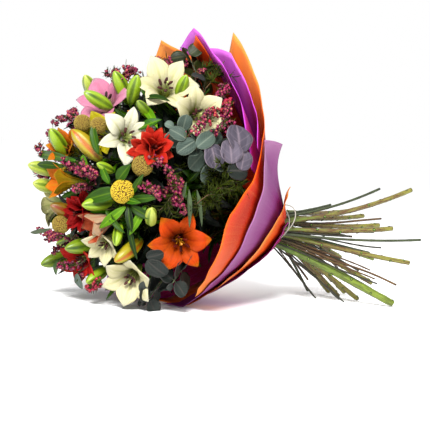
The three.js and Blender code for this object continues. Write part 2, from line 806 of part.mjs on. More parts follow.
// A point of the bowl, a length along it from the tie, in the plane of an azimuth
function bowl(around, length, layer, flare) {
  const a0 = rad(BOWL_START_ANGLE);
  const a1 = rad(BOWL_END_ANGLE);
  const rate = (a1 - a0) / BOWL_CURVED;
  const bent = Math.min(length, BOWL_CURVED);
  const angle = a0 + rate * bent;
  const straight = length - bent;
  const radius = (Math.cos(a0) - Math.cos(angle)) / rate + straight * Math.sin(angle);
  const along = (Math.sin(angle) - Math.sin(a0)) / rate + straight * Math.cos(angle);
  const off = layer + flare;
  const out = UP.clone().multiplyScalar(Math.cos(rad(around))).addScaledVector(NEAR, Math.sin(rad(around)));
  const r = BOWL_START_RADIUS + radius + off * Math.cos(angle);
  return add(onAxis(BOWL_START_ALONG + along - off * Math.sin(angle)), out, r);
}

// The rim at the columns that every sheet shares, from one corner to the next
function rimPoints(rim) {
  const points = [];
  rim.forEach(([around, length, flare], i) => {
    if (i > 0) {
      const [from, lastLength, lastFlare] = rim[i - 1];
      const turn = (around - from + 360) % 360;
      const cuts = Math.round(turn / PAPER_STEP);
      for (let k = 1; k < cuts; k++) {
        const t = k / cuts;
        const between = (a, b) => a + (b - a) * t;
        points.push([from + turn * t, between(lastLength, length), between(lastFlare, flare)]);
      }
    }
    points.push([around, length, flare]);
  });
  return points;
}

// How far along the bowl the rows of a sheet stand
const paperRows = (length) => [
  0,
  Math.min(BOWL_CURVED, length / 2),
  Math.max(length - PAPER_HEM, length * 0.75),
  length,
];

function paperSolid({ rim, layer }, grow) {
  const edge = rimPoints(rim.map(([around, ...rest]) => [around * PAPER_STEP, ...rest]));
  const last = edge.length - 1;
  const face = (side) =>
    edge.map(([around, length, flare], i) =>
      paperRows(length).map((row, j) => {
        const turn = around + (i === 0 ? -grow : i === last ? grow : 0) * 0.4;
        const reach = row + (j === 3 ? grow : j === 0 ? -grow : 0);
        const wave = PAPER_WAVE * (reach / 300) ** 2 * Math.sin(rad(around * 10));
        const off = layer * PAPER_LAYER + side * (PAPER_THICKNESS / 2 + grow) + wave;
        const p = bowl(turn, reach, off, flare * (row / length) ** 3);
        const floor = Math.max(0, LOWEST_LAYER - layer) * 1.7;
        p.z = Math.max(p.z, floor + (side > 0 ? 0 : PAPER_THICKNESS) - side * grow);
        return p;
      }),
    );
  return shell(face(-1), face(1));
}

// Several turns of twine round the stems, against the paper's neck

const TWINE_RADIUS = 1.6;
const TWINE_TURNS = 2;
const TWINE_ALONG = -9;
const TWINE_ROOM = 1.4; // between the stems' bundle and the inside of the turns
const TWINE_GROOVE = 1.1; // how far out a groove between two turns is, of TWINE_RADIUS

function twineSolid() {
  const inner = WAIST_RADIUS + TWINE_ROOM;
  const profile = [];
  for (let k = 0; k <= 2 * TWINE_TURNS; k++) {
    const r = inner + TWINE_RADIUS * (k % 2 ? 2 : TWINE_GROOVE);
    profile.push(new THREE.Vector2(r, (k - TWINE_TURNS) * TWINE_RADIUS));
  }
  profile.push(new THREE.Vector2(inner, TWINE_TURNS * TWINE_RADIUS));
  profile.push(new THREE.Vector2(inner, -TWINE_TURNS * TWINE_RADIUS), profile[0]);
  const ring = new THREE.LatheGeometry(profile, 16);
  ring.applyQuaternion(new THREE.Quaternion().setFromUnitVectors(vec(0, 1, 0), AXIS));
  const c = onAxis(TWINE_ALONG);
  return solid(ring.translate(c.x, c.y, c.z));
}

// Cutting clear, and the nodes

const touch = (a, b) => {
  const [p, q] = [a.boundingBox(), b.boundingBox()];
  return [0, 1, 2].every((k) => p.min[k] < q.max[k] && q.min[k] < p.max[k]);
};

function clearOf(piece, cutters) {
  const near = cutters.filter((c) => touch(piece, c));
  return near.length ? Manifold.difference([piece, ...near]) : piece;
}

// The largest piece of what a cut leaves, without the slivers that the cut made
function largest(made) {
  const pick = (pieces) => pieces.reduce((best, p) => (p.volume() > best.volume() ? p : best));
  return pick(pick(made.decompose()).simplify(SLIVER).decompose());
}

const COLOURS = {
  white_lily: 0xf4eedb,
  pink_lily: 0xe58fae,
  orange_lily: 0xef6a12,
  salmon_lily: 0xe0703f,
  red_lily: 0xc8281c,
  yellow_lily: 0xe6c62c,
  alstroemeria: 0xd8391c,
  craspedia: 0xcfa21f,
  boronia: 0xa81f66,
  eucalyptus: 0x7f9389,
  waxflower: 0x5f7034,
  paper_orange: 0xf07c2b,
  paper_purple: 0x9c3aa8,
  twine: 0xe9e4da,
  stem: 0x6f9436,
};

function colourOf(name) {
  const key = Object.keys(COLOURS).find((k) => name.startsWith(k));
  const green = !name.includes("bloom") && /lily|alstroemeria/.test(name);
  return COLOURS[green ? "stem" : key];
}

function toMesh(name, made) {
  const { vertProperties, triVerts } = made.getMesh();
  const geometry = new THREE.BufferGeometry()
    .setAttribute("position", new THREE.BufferAttribute(vertProperties, 3))
    .setIndex(new THREE.BufferAttribute(triVerts, 1));
  geometry.computeVertexNormals();
  const material = new THREE.MeshStandardMaterial({ color: colourOf(name), roughness: 0.6, metalness: 0 });
  const mesh = new THREE.Mesh(geometry, material);
  mesh.name = name;
  return mesh;
}

function build() {
  const plants = preparePlants();
  const papersMade = papers.map((sheet) => ({ name: sheet.name, fat: paperSolid(sheet, GAP), sheet }));
  const twine = twineSolid();
  const taken = [];
  const cores = plants.map((plant) => ({
    plant,
    own: Manifold.union(corePieces(plant, 0)),
    fat: Manifold.union(corePieces(plant, GAP)),
  }));
  const others = (plant) => cores.filter((c) => c.plant !== plant).map((c) => c.fat);
  const nodes = new Map();

  // Paper first, each sheet clear of the ones inside it and of every stem
  for (const paper of papersMade) {
    const inner = papersMade.slice(0, papersMade.indexOf(paper)).map((p) => p.fat);
    const cut = clearOf(paperSolid(paper.sheet, 0), [...inner, ...cores.map((c) => c.fat)]);
    nodes.set(paper.name, largest(cut));
    taken.push(paper.fat);
  }

  // Blooms and heads, then buds, then foliage and florets
  const parts = new Map(plants.map((p) => [p, []]));
  const place = (plant, make, bag) => {
    const whole = make(0);
    bag.push(clearOf(whole, [...others(plant), ...taken]));
    return make(GAP);
  };
  for (const plant of plants) {
    for (const bloom of plant.blooms ?? []) {
      const own = cores.find((c) => c.plant === plant).fat;
      const cut = clearOf(bloomSolid(bloom, 0), [...others(plant), own, ...taken]);
      nodes.set(bloom.name, largest(cut));
      taken.push(bloomSolid(bloom, GAP));
    }
    if (plant.kind === "craspedia") {
      taken.push(place(plant, (grow) => craspediaHead(plant, grow), parts.get(plant)));
    }
  }
  const grown = (plant, list, make) => {
    const fats = list.map((item) => place(plant, (grow) => make(item, grow), parts.get(plant)));
    taken.push(...fats);
  };
  for (const plant of plants.filter((p) => p.kind === "lily")) {
    grown(plant, plant.buds, (bud, grow) => budSolid(plant, bud, grow));
  }
  for (const plant of plants) {
    if (plant.kind === "eucalyptus") grown(plant, [plant], eucalyptusFrond);
    if (plant.kind === "lily") grown(plant, leavesOf(plant), leafSolid);
  }
  for (const plant of plants) {
    const twigs = (plant.tips ?? []).map((_, k) => k);
    if (plant.kind === "spray") grown(plant, twigs, (k, grow) => floretString(plant, k, grow));
    if (plant.kind === "needles") grown(plant, twigs, (k, grow) => needleFrond(plant, k, grow));
  }
  for (const { plant, own } of cores) {
    const joined = Manifold.union([own, ...parts.get(plant)]);
    nodes.set(plant.name, largest(joined));
  }
  nodes.set("twine", twine);
  return nodes;
}

const bouquet = new THREE.Group();
for (const [name, made] of build()) bouquet.add(toMesh(name, made));

// The part's origin is below the middle of the bouquet, on the surface.
const box = new THREE.Box3().setFromObject(bouquet);
const middle = box.getCenter(vec(0, 0, 0));
bouquet.position.set(-middle.x, -middle.y, -box.min.z);

export default bouquet;
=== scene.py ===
"""A hand-tied bouquet of lilies, alstroemeria, craspedia, boronia and eucalyptus, in orange and purple paper.

The layout is in millimetres and degrees, the same as the solids have; meshes are made in metres.
"""

import copy
import math

import bpy
import numpy as np
from mathutils import Matrix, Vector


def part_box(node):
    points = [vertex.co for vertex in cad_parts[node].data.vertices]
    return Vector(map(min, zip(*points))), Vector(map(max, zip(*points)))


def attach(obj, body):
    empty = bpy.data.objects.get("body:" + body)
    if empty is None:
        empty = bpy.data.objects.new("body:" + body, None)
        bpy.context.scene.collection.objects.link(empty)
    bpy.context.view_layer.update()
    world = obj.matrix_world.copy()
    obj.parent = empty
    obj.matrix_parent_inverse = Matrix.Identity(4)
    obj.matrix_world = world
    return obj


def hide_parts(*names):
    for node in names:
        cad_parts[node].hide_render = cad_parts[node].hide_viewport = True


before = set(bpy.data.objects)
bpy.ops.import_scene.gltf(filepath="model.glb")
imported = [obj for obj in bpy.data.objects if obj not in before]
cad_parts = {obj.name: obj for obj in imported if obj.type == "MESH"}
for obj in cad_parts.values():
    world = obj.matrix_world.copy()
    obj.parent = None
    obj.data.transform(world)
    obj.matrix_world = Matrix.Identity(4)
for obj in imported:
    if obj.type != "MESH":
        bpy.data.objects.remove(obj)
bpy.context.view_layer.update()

# The bouquet's own frame: along its axis to the head, up from the axis, and to the near side

TILT = math.radians(13)
AXIS = np.array([-math.cos(TILT), 0, math.sin(TILT)])
UP = np.array([math.sin(TILT), 0, math.cos(TILT)])
NEAR = np.array([0.0, -1.0, 0.0])
TWINE_ALONG = -9
DOME_CENTRE = 205
twine_low, twine_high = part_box("twine")
TIE = 500 * (np.array(twine_low) + np.array(twine_high)) - TWINE_ALONG * AXIS
DOME = TIE + DOME_CENTRE * AXIS
GOLDEN_TURN = 2.399963


def own(along, up, near):
    return along * AXIS + up * UP + near * NEAR


def on_axis(along):
    return TIE + along * AXIS


def round_axis(angle, radius, along):
    """Points round the axis, at 0 above it and at a quarter turn on its near side."""
    side = np.cos(angle)[..., None] * UP + np.sin(angle)[..., None] * NEAR
    return TIE + along[..., None] * AXIS + radius[..., None] * side


def heading(around, out):
    a, o = math.radians(around), math.radians(out)
    return own(math.cos(o), math.sin(o) * math.cos(a), math.sin(o) * math.sin(a))


def spot(place):
    around, out, reach = place
    return DOME + heading(around, out) * reach


def unit(v):
    return v / np.maximum(np.linalg.norm(v, axis=-1, keepdims=True), 1e-9)


def turn(v, axis, angle):
    """v turned about a unit axis, for one vector or many."""
    c, s = np.cos(angle), np.sin(angle)
    c, s = (c[..., None], s[..., None]) if np.ndim(angle) else (c, s)
    return v * c + np.cross(axis, v) * s + axis * (v * axis).sum(-1, keepdims=True) * (1 - c)


def arc(start, lever, end):
    """The curve from start to end that leaves towards lever, as a function of 0 to 1."""

    def at(share):
        u = np.asarray(share, float)[..., None]
        return (1 - u) ** 2 * start + 2 * u * (1 - u) * lever + u**2 * end

    return at


def ahead_on(curve, u, step=0.03, limit=1.0):
    """The way that a curve runs at u."""
    return unit(curve(np.minimum(u + step, limit)) - curve(u - step))


def draws(seed):
    """The same repeatable draws from 0 to 1 that the solids are made with."""
    state = seed
    while True:
        state = state * 16807 % 2147483647
        yield state / 2147483647


# Camera, with the photograph's framing, tied to the bouquet

PHOTO_PIXELS = 430
FOCAL_PIXELS = 1187.5
SENSOR = 36


def add(name, data):
    made = bpy.data.objects.new(name, data)
    bpy.context.collection.objects.link(made)
    return made


def stand(thing, right, up, back, place):
    """Places a camera or a lamp, which looks the way opposite to back."""
    columns = np.array([right, up, back]).T
    thing.matrix_world = Matrix([[*columns[i], place[i]] for i in range(3)] + [[0, 0, 0, 1]])


def make_camera():
    look, up = own(-0.54745, 0.06797, -0.83408), own(0.25318, 0.96344, -0.08766)
    data = bpy.data.cameras.new("camera")
    data.sensor_width = SENSOR
    data.lens = SENSOR * FOCAL_PIXELS / PHOTO_PIXELS
    data.clip_end = 50
    camera = add("camera", data)
    place = (TIE + own(1168.1, -146.0, 1633.9)) / 1000
    stand(camera, np.cross(look, up), up, -look, place)
    bpy.context.scene.camera = camera


make_camera()

# Meshes. The outlines of leaves are their half widths at shares of their length

PROFILES = {
    "lance": ([0, 0.08, 0.25, 0.45, 0.65, 0.85, 0.95, 1], [0.22, 0.45, 0.85, 1, 0.9, 0.5, 0.22, 0.03]),
    "round": ([0, 0.03, 0.1, 0.25, 0.5, 0.75, 0.9, 0.97, 1],
              [0.14, 0.36, 0.62, 0.88, 1, 0.88, 0.6, 0.34, 0.05]),
    "oval": ([0, 0.06, 0.2, 0.42, 0.65, 0.84, 0.95, 1], [0.15, 0.42, 0.84, 1, 0.82, 0.45, 0.14, 0.03]),
    "needle": ([0, 0.2, 0.8, 1], [0.6, 1, 0.9, 0.1]),
    "willow": ([0, 0.1, 0.3, 0.6, 0.85, 1], [0.12, 0.5, 1, 0.9, 0.45, 0.03]),
}
LEAF_THICK = 0.5
BUD_LOBES = 3
FLOOR_NEAR = 0.004
FLOOR_SOFT = 0.0036


def lay_of(points, along, across, chance):
    return np.stack(np.broadcast_arrays(along, across, chance, points[..., 0])[:3], -1)


class Pile:
    """Surfaces gathered into one mesh. Each point has a lay: along, across and a chance from 0 to 1."""

    def __init__(self):
        self.points, self.lays, self.faces, self.looks, self.count = [], [], [], [], 0

    def put(self, points, lay):
        self.points.append(points.reshape(-1, 3))
        self.lays.append(lay.reshape(-1, 3))
        first = self.count
        self.count += len(self.points[-1])
        return first

    def cover(self, corners, look):
        if look not in self.looks:
            self.looks.append(look)
        self.faces.append((corners.reshape(-1, corners.shape[-1]), self.looks.index(look)))

    def grids(self, points, lay, look, closed=False, flip=False):
        """Open or closed grids, shaped (how many, rows, columns, 3)."""
        n, rows, columns = points.shape[:3]
        first = self.put(points, lay)
        i = np.arange(rows - 1)[:, None] * columns
        j = np.arange(columns if closed else columns - 1)[None, :]
        k = (j + 1) % columns
        quads = np.stack([i + j, i + columns + j, i + columns + k, i + k], -1).reshape(-1, 4)
        if flip:
            quads = quads[:, ::-1]
        self.cover(quads[None] + first + np.arange(n)[:, None, None] * rows * columns, look)
        return first

    def slabs(self, points, lay, look, thick, back=None):
        """Thin closed sheets round grids, with the look back on their undersides."""
        n, rows, columns = points.shape[:3]
        off = unit(np.cross(np.gradient(points, axis=1), np.gradient(points, axis=2))) * thick / 2
        top = self.grids(points + off, lay, look, flip=True)
        under = self.grids(points - off, lay, look if back is None else back)
        at = np.arange(rows * columns).reshape(rows, columns)
        rim = np.concatenate([at[0], at[1:, -1], at[-1, -2::-1], at[-2:0:-1, 0]])
        after = np.roll(rim, -1)
        quads = np.stack([top + rim, under + rim, under + after, top + after], -1)
        self.cover(quads[None] + np.arange(n)[:, None, None] * rows * columns, look)

    def rings(self, points, lay, look, cap):
        """Closed grids with a face at both ends, which has the look cap."""
        n, rows, sides = points.shape[:3]
        first = self.grids(points, lay, look, closed=True, flip=True)
        first = first + np.arange(n)[:, None] * rows * sides
        self.cover(first + np.arange(sides)[::-1], cap)
        self.cover(first + (rows - 1) * sides + np.arange(sides), cap)

    def turned(self, base, axis, length, radius, profile, look, sides=8, lobes=0, depth=0.0, alternate=0.0,
               chance=0.5):
        """Bodies of revolution: profile is (along, radius) as shares of length and radius. lobes of depth run
        along them, and alternate draws every other column in. lay's across is the depth of the groove."""
        base, axis, shape = np.atleast_2d(base), np.atleast_2d(axis), np.array(profile)
        length, radius = np.atleast_1d(length), np.atleast_1d(radius)
        upright = np.abs(axis[:, 2:]) > 0.9
        side = unit(np.cross(axis, np.where(upright, [[1.0, 0, 0]], [[0.0, 0, 1.0]])))
        other = np.cross(axis, side)
        angle = 2 * np.pi * np.arange(sides) / sides
        groove = (0.5 - 0.5 * np.cos(lobes * angle)) ** 3
        if lobes == BUD_LOBES:
            # a fine line along the ridges
            groove = groove + 0.28 * (0.5 + 0.5 * np.cos(lobes * angle)) ** 10
        r = shape[:, 1][:, None] * (1 - depth * groove - alternate * (np.arange(sides) % 2))[None]
        ring = np.cos(angle)[:, None] * side[:, None] + np.sin(angle)[:, None] * other[:, None]
        stem = base[:, None] + axis[:, None] * length[:, None, None] * shape[None, :, 0, None]
        points = stem[:, :, None] + ring[:, None] * (r[None] * radius[:, None, None])[..., None]
        along = np.linspace(0, 1, len(shape))[None, :, None]
        lay = lay_of(points, along, groove, np.reshape(chance, (-1, 1, 1)))
        self.rings(points, lay, look, look)

    def tube(self, points, radii, look, sides=8, chance=0.5, cap=None):
        """A tube along a path, closed at both ends by faces with the look cap."""
        points = np.asarray(points, float)
        side = np.array([0.31, 0.9, 0.29])
        angle = 2 * np.pi * np.arange(sides)[:, None] / sides
        rings = []
        for p, d, r in zip(points, unit(np.gradient(points, axis=0)), radii):
            side = unit(side - d * (side @ d))
            rings.append(p + r * (np.cos(angle) * side + np.sin(angle) * np.cross(d, side)))
        rings = np.array(rings)
        rings[..., 2] = np.maximum(rings[..., 2], 0.1)
        lay = lay_of(rings, np.linspace(0, 1, len(points))[:, None], np.linspace(0, 1, sides), chance)
        self.rings(rings[None], lay[None], look, look if cap is None else cap)

    def twig(self, curve, first, last, steps, look, sides, chance=0.5):
        """A tube along a curve, which thins out from one radius to the other."""
        self.tube(curve(np.linspace(0, 1, steps)), np.linspace(first, last, steps), look, sides, chance)

    def leaves(self, root, out, droop, length, half, look, chance, shape="lance", rows=8, columns=4,
               bend=0.35, cup=0.25, wave=0.0):
        """Leaves from their roots: each runs out, bends towards droop, and is cupped by cup."""
        u, v = np.linspace(0, 1, rows + 1), np.linspace(-1, 1, columns + 1)
        far, chance = u[None, :, None], chance[:, None, None]
        across = unit(np.cross(out, droop))[:, None]
        out, droop = out[:, None], bend * droop[:, None]
        spine = root[:, None] + length[:, None, None] * (out * far + droop * far**2)
        up = np.cross(unit(out + 2 * droop * far), across)
        w = (half[:, None] * np.interp(u, *PROFILES[shape])[None])[..., None]
        ripple = wave * np.sin(9 * far + 20 * chance + 1.5 * np.sign(v))
        lift = w * (cup * v**2 + ripple * v**2)
        points = spine[:, :, None] + across[:, :, None] * (w * v)[..., None]
        points = points + up[:, :, None] * lift[..., None]
        self.slabs(points, lay_of(points, far, v, chance), look, LEAF_THICK)


def above_floor(z):
    """Presses what would go under the floor on to it, and leaves the rest as it is."""
    pressed = 0.0004 + FLOOR_SOFT * np.exp(np.minimum(z - FLOOR_NEAR, 0) / FLOOR_SOFT)
    return np.where(z < FLOOR_NEAR, pressed, z)


def publish(name, pile, nodes=()):
    """One object out of a pile, which rides on the bouquet and stands for its solids."""
    mesh = bpy.data.meshes.new(name)
    points = np.concatenate(pile.points) / 1000
    points[:, 2] = above_floor(points[:, 2])
    corners = np.concatenate([f.ravel() for f, _ in pile.faces])
    sizes = np.concatenate([np.full(len(f), f.shape[1]) for f, _ in pile.faces])
    looks = np.concatenate([np.full(len(f), look) for f, look in pile.faces])
    mesh.vertices.add(len(points))
    mesh.vertices.foreach_set("co", points.ravel())
    mesh.loops.add(len(corners))
    mesh.loops.foreach_set("vertex_index", corners.astype(np.int32))
    mesh.polygons.add(len(sizes))
    mesh.polygons.foreach_set("loop_start", (np.cumsum(sizes) - sizes).astype(np.int32))
    mesh.polygons.foreach_set("material_index", looks.astype(np.int32))
    mesh.update(calc_edges=True)
    lay = mesh.attributes.new("lay", "FLOAT_VECTOR", "POINT")
    lay.data.foreach_set("vector", np.concatenate(pile.lays).ravel())
    mesh.polygons.foreach_set("use_smooth", np.full(len(sizes), True))
    for look in pile.looks:
        mesh.materials.append(look)
    made = add(name, mesh)
    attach(made, "root")
    if nodes:
        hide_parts(*nodes)


# Materials, all of nodes

FULL_LIGHT = 2.3  # how far the lamp and the sky together overexpose a white thing
# Papers are toned for less light, so they come out brighter than their own colour: painted light for sheets
# that lie in shade
PAPER_LIGHT = 1.35
RICHER = 1.18  # makes up for the light that neighbours throw back into the shade
VIVID = 1.2  # makes up for what white light from all round takes from a colour


def tone(colour, light=FULL_LIGHT):
    """The colour of a thing that looks this way, 0 to 255, in that much light."""
    top = max(colour)
    vivid = [top * (c / top) ** VIVID for c in colour]
    return tuple(min(0.9, ((c / 255 + 0.055) / 1.055) ** (2.4 * RICHER) / light) for c in vivid) + (1.0,)


class Look:
    """A material with one main shader, and short ways to add the nodes that feed it."""

    def __init__(self, name, roughness, specular, light=FULL_LIGHT):
        self.light = light
        self.material = bpy.data.materials.new(name)
        self.material.use_nodes = True
        self.nodes = self.material.node_tree.nodes
        self.links = self.material.node_tree.links
        self.shader = self.nodes["Principled BSDF"]
        self.shader.inputs["Roughness"].default_value = roughness
        self.shader.inputs["Specular IOR Level"].default_value = specular
        self.lay = self.node("ShaderNodeAttribute", attribute_name="lay").outputs["Vector"]
        self.body = self.node("ShaderNodeTexCoord").outputs["Object"]
        self.along, self.across, self.chance = self.node("ShaderNodeSeparateXYZ", Vector=self.lay).outputs

    def node(self, kind, **settings):
        made = self.nodes.new(kind)
        for key, value in settings.items():
            if key in made.inputs:
                self.feed(made.inputs[key], value)
            else:
                setattr(made, key, value)
        return made

    def feed(self, socket, value):
        if isinstance(value, bpy.types.NodeSocket):
            self.links.new(value, socket)
        else:
            socket.default_value = value

    def feed_all(self, sockets, values):
        for socket, value in zip(sockets, values):
            self.feed(socket, value)

    def math(self, operation, *values):
        made = self.node("ShaderNodeMath", operation=operation)
        self.feed_all(made.inputs, values)
        return made.outputs[0]

    def span(self, value, low, high, out_low=0.0, out_high=1.0):
        made = self.node("ShaderNodeMapRange", interpolation_type="SMOOTHSTEP")
        self.feed_all(made.inputs, (value, low, high, out_low, out_high))
        return made.outputs[0]

    def ramp(self, value, *stops):
        made = self.node("ShaderNodeValToRGB")
        self.feed(made.inputs[0], value)
        elements = made.color_ramp.elements
        while len(elements) < len(stops):
            elements.new(0.5)
        for element, (place, colour) in zip(elements, stops):
            element.position = place
            element.color = tone(colour, self.light)
        return made.outputs[0]

    def mix(self, factor, *values):
        made = self.node("ShaderNodeMix", data_type="RGBA")
        values = [tone(v, self.light) if isinstance(v, tuple) else v for v in values]
        self.feed_all([made.inputs[i] for i in (0, 6, 7)], (factor, *values))
        return made.outputs[2]

    def over(self, base, colour, value, low, high, most, least=0.0):
        """Base with a colour over it: the share least of it where value is low, and most where it is high."""
        return self.mix(self.span(value, low, high, least, most), base, colour)

    def laid(self, *stretch):
        """Coordinates for a pattern: the lay, stretched."""
        made = self.node("ShaderNodeVectorMath", operation="MULTIPLY")
        self.feed_all(made.inputs, (self.lay, stretch))
        return made.outputs[0]

    def noise(self, where, scale, detail=2.0, roughness=0.5):
        made = self.node("ShaderNodeTexNoise", Vector=where, Scale=scale, Detail=detail, Roughness=roughness)
        return made.outputs[0]

    def bump(self, height, strength, distance):
        made = self.node("ShaderNodeBump", Strength=strength, Distance=distance, Height=height)
        self.feed(self.shader.inputs["Normal"], made.outputs[0])

    def thin(self, share, value):
        """Lets a share of the light through, tinted by value."""
        through = self.node("ShaderNodeBsdfTranslucent", Color=value)
        both = self.node("ShaderNodeMixShader", Fac=share)
        self.links.new(self.shader.outputs[0], both.inputs[1])
        self.links.new(through.outputs[0], both.inputs[2])
        self.links.new(both.outputs[0], self.nodes["Material Output"].inputs["Surface"])

    def colour(self, value):
        self.feed(self.shader.inputs["Base Color"], value)
        return self.material


def petal_look(name, throat, body, tip, rib, freckle=None, light=FULL_LIGHT, reach=0.48):
    look = Look("petal_" + name, 0.48, 0.1, light)
    base = look.ramp(look.along, (0.0, throat), (0.22, throat), (reach, body), (0.85, body), (1.0, tip))
    base = look.over(base, rib, look.noise(look.laid(2.2, 26, 9), 1.0, 3.0), 0.4, 0.72, 0.38)
    middle = look.span(look.math("ABSOLUTE", look.across), 0.0, 0.2, 1.0, 0.0)
    fade = look.span(look.along, 0.35, 0.95, 0.75, 0.1)
    base = look.mix(look.math("MULTIPLY", middle, fade), base, rib)
    if freckle:
        dots = look.span(look.noise(look.laid(24, 16, 40), 1.0, 1.0), 0.6, 0.68)
        near = look.math("MULTIPLY", dots, look.span(look.along, 0.3, 0.6, 0.9, 0.0))
        base = look.mix(near, base, freckle)
    base = look.over(base, tip, look.noise(look.body, 30.0), 0.3, 0.8, 0.16)
    look.bump(look.noise(look.laid(1.5, 22, 9), 1.0, 3.0), 0.9, 0.0016)
    look.thin(0.2, base)
    return look.colour(base)


def leaf_look(name, dark, light, rib, rough=0.38, veins=14.0, specular=0.12, ribs=0.0):
    look = Look("leaf_" + name, rough, specular)
    base = look.ramp(look.chance, (0.0, dark), (1.0, light))
    base = look.over(base, dark, look.noise(look.body, 45.0, 3.0), 0.3, 0.75, 0.5)
    lines = look.noise(look.laid(1.0, veins, 12), 1.0)
    base = look.over(base, light, lines, 0.45, 0.7, 0.35)
    off_middle = look.math("ABSOLUTE", look.across)
    middle = look.span(off_middle, 0.0, 0.16, 0.45, 0.0)
    base = look.mix(middle, base, rib)
    if ribs:
        reach = look.math("MULTIPLY_ADD", off_middle, -0.35, look.along)
        side = look.math("SINE", look.math("MULTIPLY", reach, ribs))
        base = look.over(base, rib, side, 0.88, 1.0, 0.2)
        base = look.over(base, rib, off_middle, 0.9, 1.0, 0.5)
    look.bump(look.math("ADD", lines, look.math("MULTIPLY", middle, -0.6)), 0.5, 0.0007)
    return look.colour(base)


def bud_look(name, ridge, groove, foot, streak):
    look = Look("bud_" + name, 0.36, 0.35)
    # Darker in the grooves: partly the bud's own colour, partly painted shade in the grooves
    base = look.over(ridge, groove, look.across, 0.25, 0.85, 1.0)
    base = look.over(base, streak, look.noise(look.laid(1.2, 3.0, 30), 3.0, 3.0), 0.45, 0.75, 0.5)
    base = look.over(base, foot, look.along, 0.0, 0.35, 0.0, 0.8)
    base = look.over(base, streak, look.along, 0.86, 1.0, 0.55)
    base = look.over(base, ridge, look.noise(look.body, 60.0), 0.35, 0.8, 0.25)
    look.bump(look.noise(look.laid(2, 9, 30), 2.0, 3.0), 0.35, 0.0006)
    return look.colour(base)


def stem_look(name, foot, middle, top, streak):
    look = Look("stem_" + name, 0.45, 0.4)
    base = look.ramp(look.along, (0.0, foot), (0.35, middle), (0.75, top))
    lines = look.noise(look.laid(7.0, 6.0, 40), 2.0, 4.0, 0.65)
    base = look.over(base, streak, lines, 0.42, 0.6, 0.9)
    patch = look.noise(look.body, 90.0, 3.0)
    base = look.over(base, foot, patch, 0.5, 0.8, 0.4)
    look.bump(look.math("ADD", lines, patch), 0.9, 0.0012)
    return look.colour(base)


def paper_look(name, light, body, deep, darkest_shade):
    """Paper that gets lighter from the tie to its hem: painted shade, darkest at the tie, and a painted glow
    of light through the paper at the hem. Where lay's chance, its share of painted shade, is 1, it gets
    lighter only near the hem.
    """
    look = Look("paper_" + name, 0.5, 0.1, PAPER_LIGHT)
    # painted shade, darkest at the tie, and at the hem a painted glow of light through the paper
    base = look.ramp(look.along, (0.0, darkest_shade), (0.3, deep), (0.72, body), (1.0, light))
    # where lay's chance is high, the painted shade runs nearly to the hem
    shade_ramp = look.ramp(look.along, (0.0, darkest_shade), (0.84, darkest_shade), (0.95, deep), (1.0, body))
    base = look.mix(look.chance, base, shade_ramp)
    base = look.over(base, deep, look.noise(look.body, 9.0), 0.35, 0.7, 0.3)
    fibre = look.noise(look.body, 420.0, 3.0)
    base = look.over(base, light, fibre, 0.4, 0.7, 0.12)
    rays = look.noise(look.laid(1.2, 30, 3), 1.0)
    base = look.over(base, light, rays, 0.55, 0.66, 0.07)
    grain = look.math("ADD", look.math("MULTIPLY", rays, 1.2), look.math("MULTIPLY", fibre, 0.12))
    look.bump(grain, 0.3, 0.0015)
    look.thin(0.34, base)
    return look.colour(base)


def plain_look(name, dark, light, rough, scale, bump=0.4, along=False, specular=0.4):
    """Two tones by chance or along the thing, broken up by a fine grain."""
    look = Look(name, rough, specular)
    base = look.ramp(look.along if along else look.chance, (0.0, dark), (1.0, light))
    grain = look.noise(look.body, scale, 3.0)
    base = look.over(base, dark, grain, 0.35, 0.75, 0.4)
    look.bump(grain, bump, 0.0005)
    return look.colour(base)


WHITE = petal_look("white", (176, 190, 60), (250, 247, 226), (252, 250, 238), (206, 206, 132), light=1.92)
CREAM = petal_look("cream", (176, 184, 44), (250, 243, 208), (252, 248, 230), (200, 204, 104), light=1.96)
PINK = petal_look("pink", (214, 196, 150), (246, 176, 202), (252, 222, 234), (220, 118, 154), (150, 40, 70))
# The dark throat reaches far up the petal: partly the lily's own colour, partly painted shade inside the
# trumpet
ORANGE = petal_look("orange", (96, 4, 2), (244, 112, 0), (254, 172, 10), (172, 30, 0), (64, 2, 2), reach=0.78)
AMBER = petal_look("amber", (226, 150, 20), (246, 140, 24), (240, 190, 60), (206, 190, 60))
SALMON = petal_look("salmon", (214, 190, 120), (228, 120, 76), (240, 190, 150), (200, 60, 40))
RED = petal_look("red", (120, 10, 14), (222, 52, 44), (240, 104, 72), (156, 14, 24))
YELLOW = petal_look("yellow", (150, 170, 20), (226, 212, 40), (240, 226, 90), (176, 184, 30))
SCARLET = petal_look("scarlet", (158, 24, 16), (232, 68, 46), (248, 126, 92), (184, 28, 18), (80, 6, 6))
CRIMSON = petal_look("crimson", (110, 10, 14), (182, 22, 28), (206, 44, 34), (110, 8, 20), (60, 4, 8))
GREEN_BACK = petal_look("green_back", (120, 154, 40), (236, 232, 176), (248, 244, 220), (160, 178, 84))
PINK_BACK = petal_look("pink_back", (150, 170, 80), (240, 180, 200), (250, 226, 232), (190, 150, 120))
OLIVE_BACK = petal_look("olive_back", (110, 130, 20), (206, 172, 40), (226, 190, 70), (130, 130, 20))
PALE_BACK = petal_look("pale_back", (150, 170, 80), (240, 214, 180), (248, 236, 214), (216, 110, 70))
POLLEN = plain_look("anther", (62, 16, 18), (112, 42, 34), 0.8, 900.0, 0.8)
RUST = plain_look("anther_orange", (70, 14, 6), (130, 40, 10), 0.8, 900.0, 0.8, specular=0.1)
FILAMENT = plain_look("filament", (176, 190, 110), (220, 224, 160), 0.4, 80.0, 0.2)
STYLE = plain_look("style", (220, 150, 30), (246, 196, 70), 0.4, 80.0, 0.2)
LEAF = leaf_look("lily", (16, 40, 0), (80, 118, 0), (128, 156, 24), 0.36)
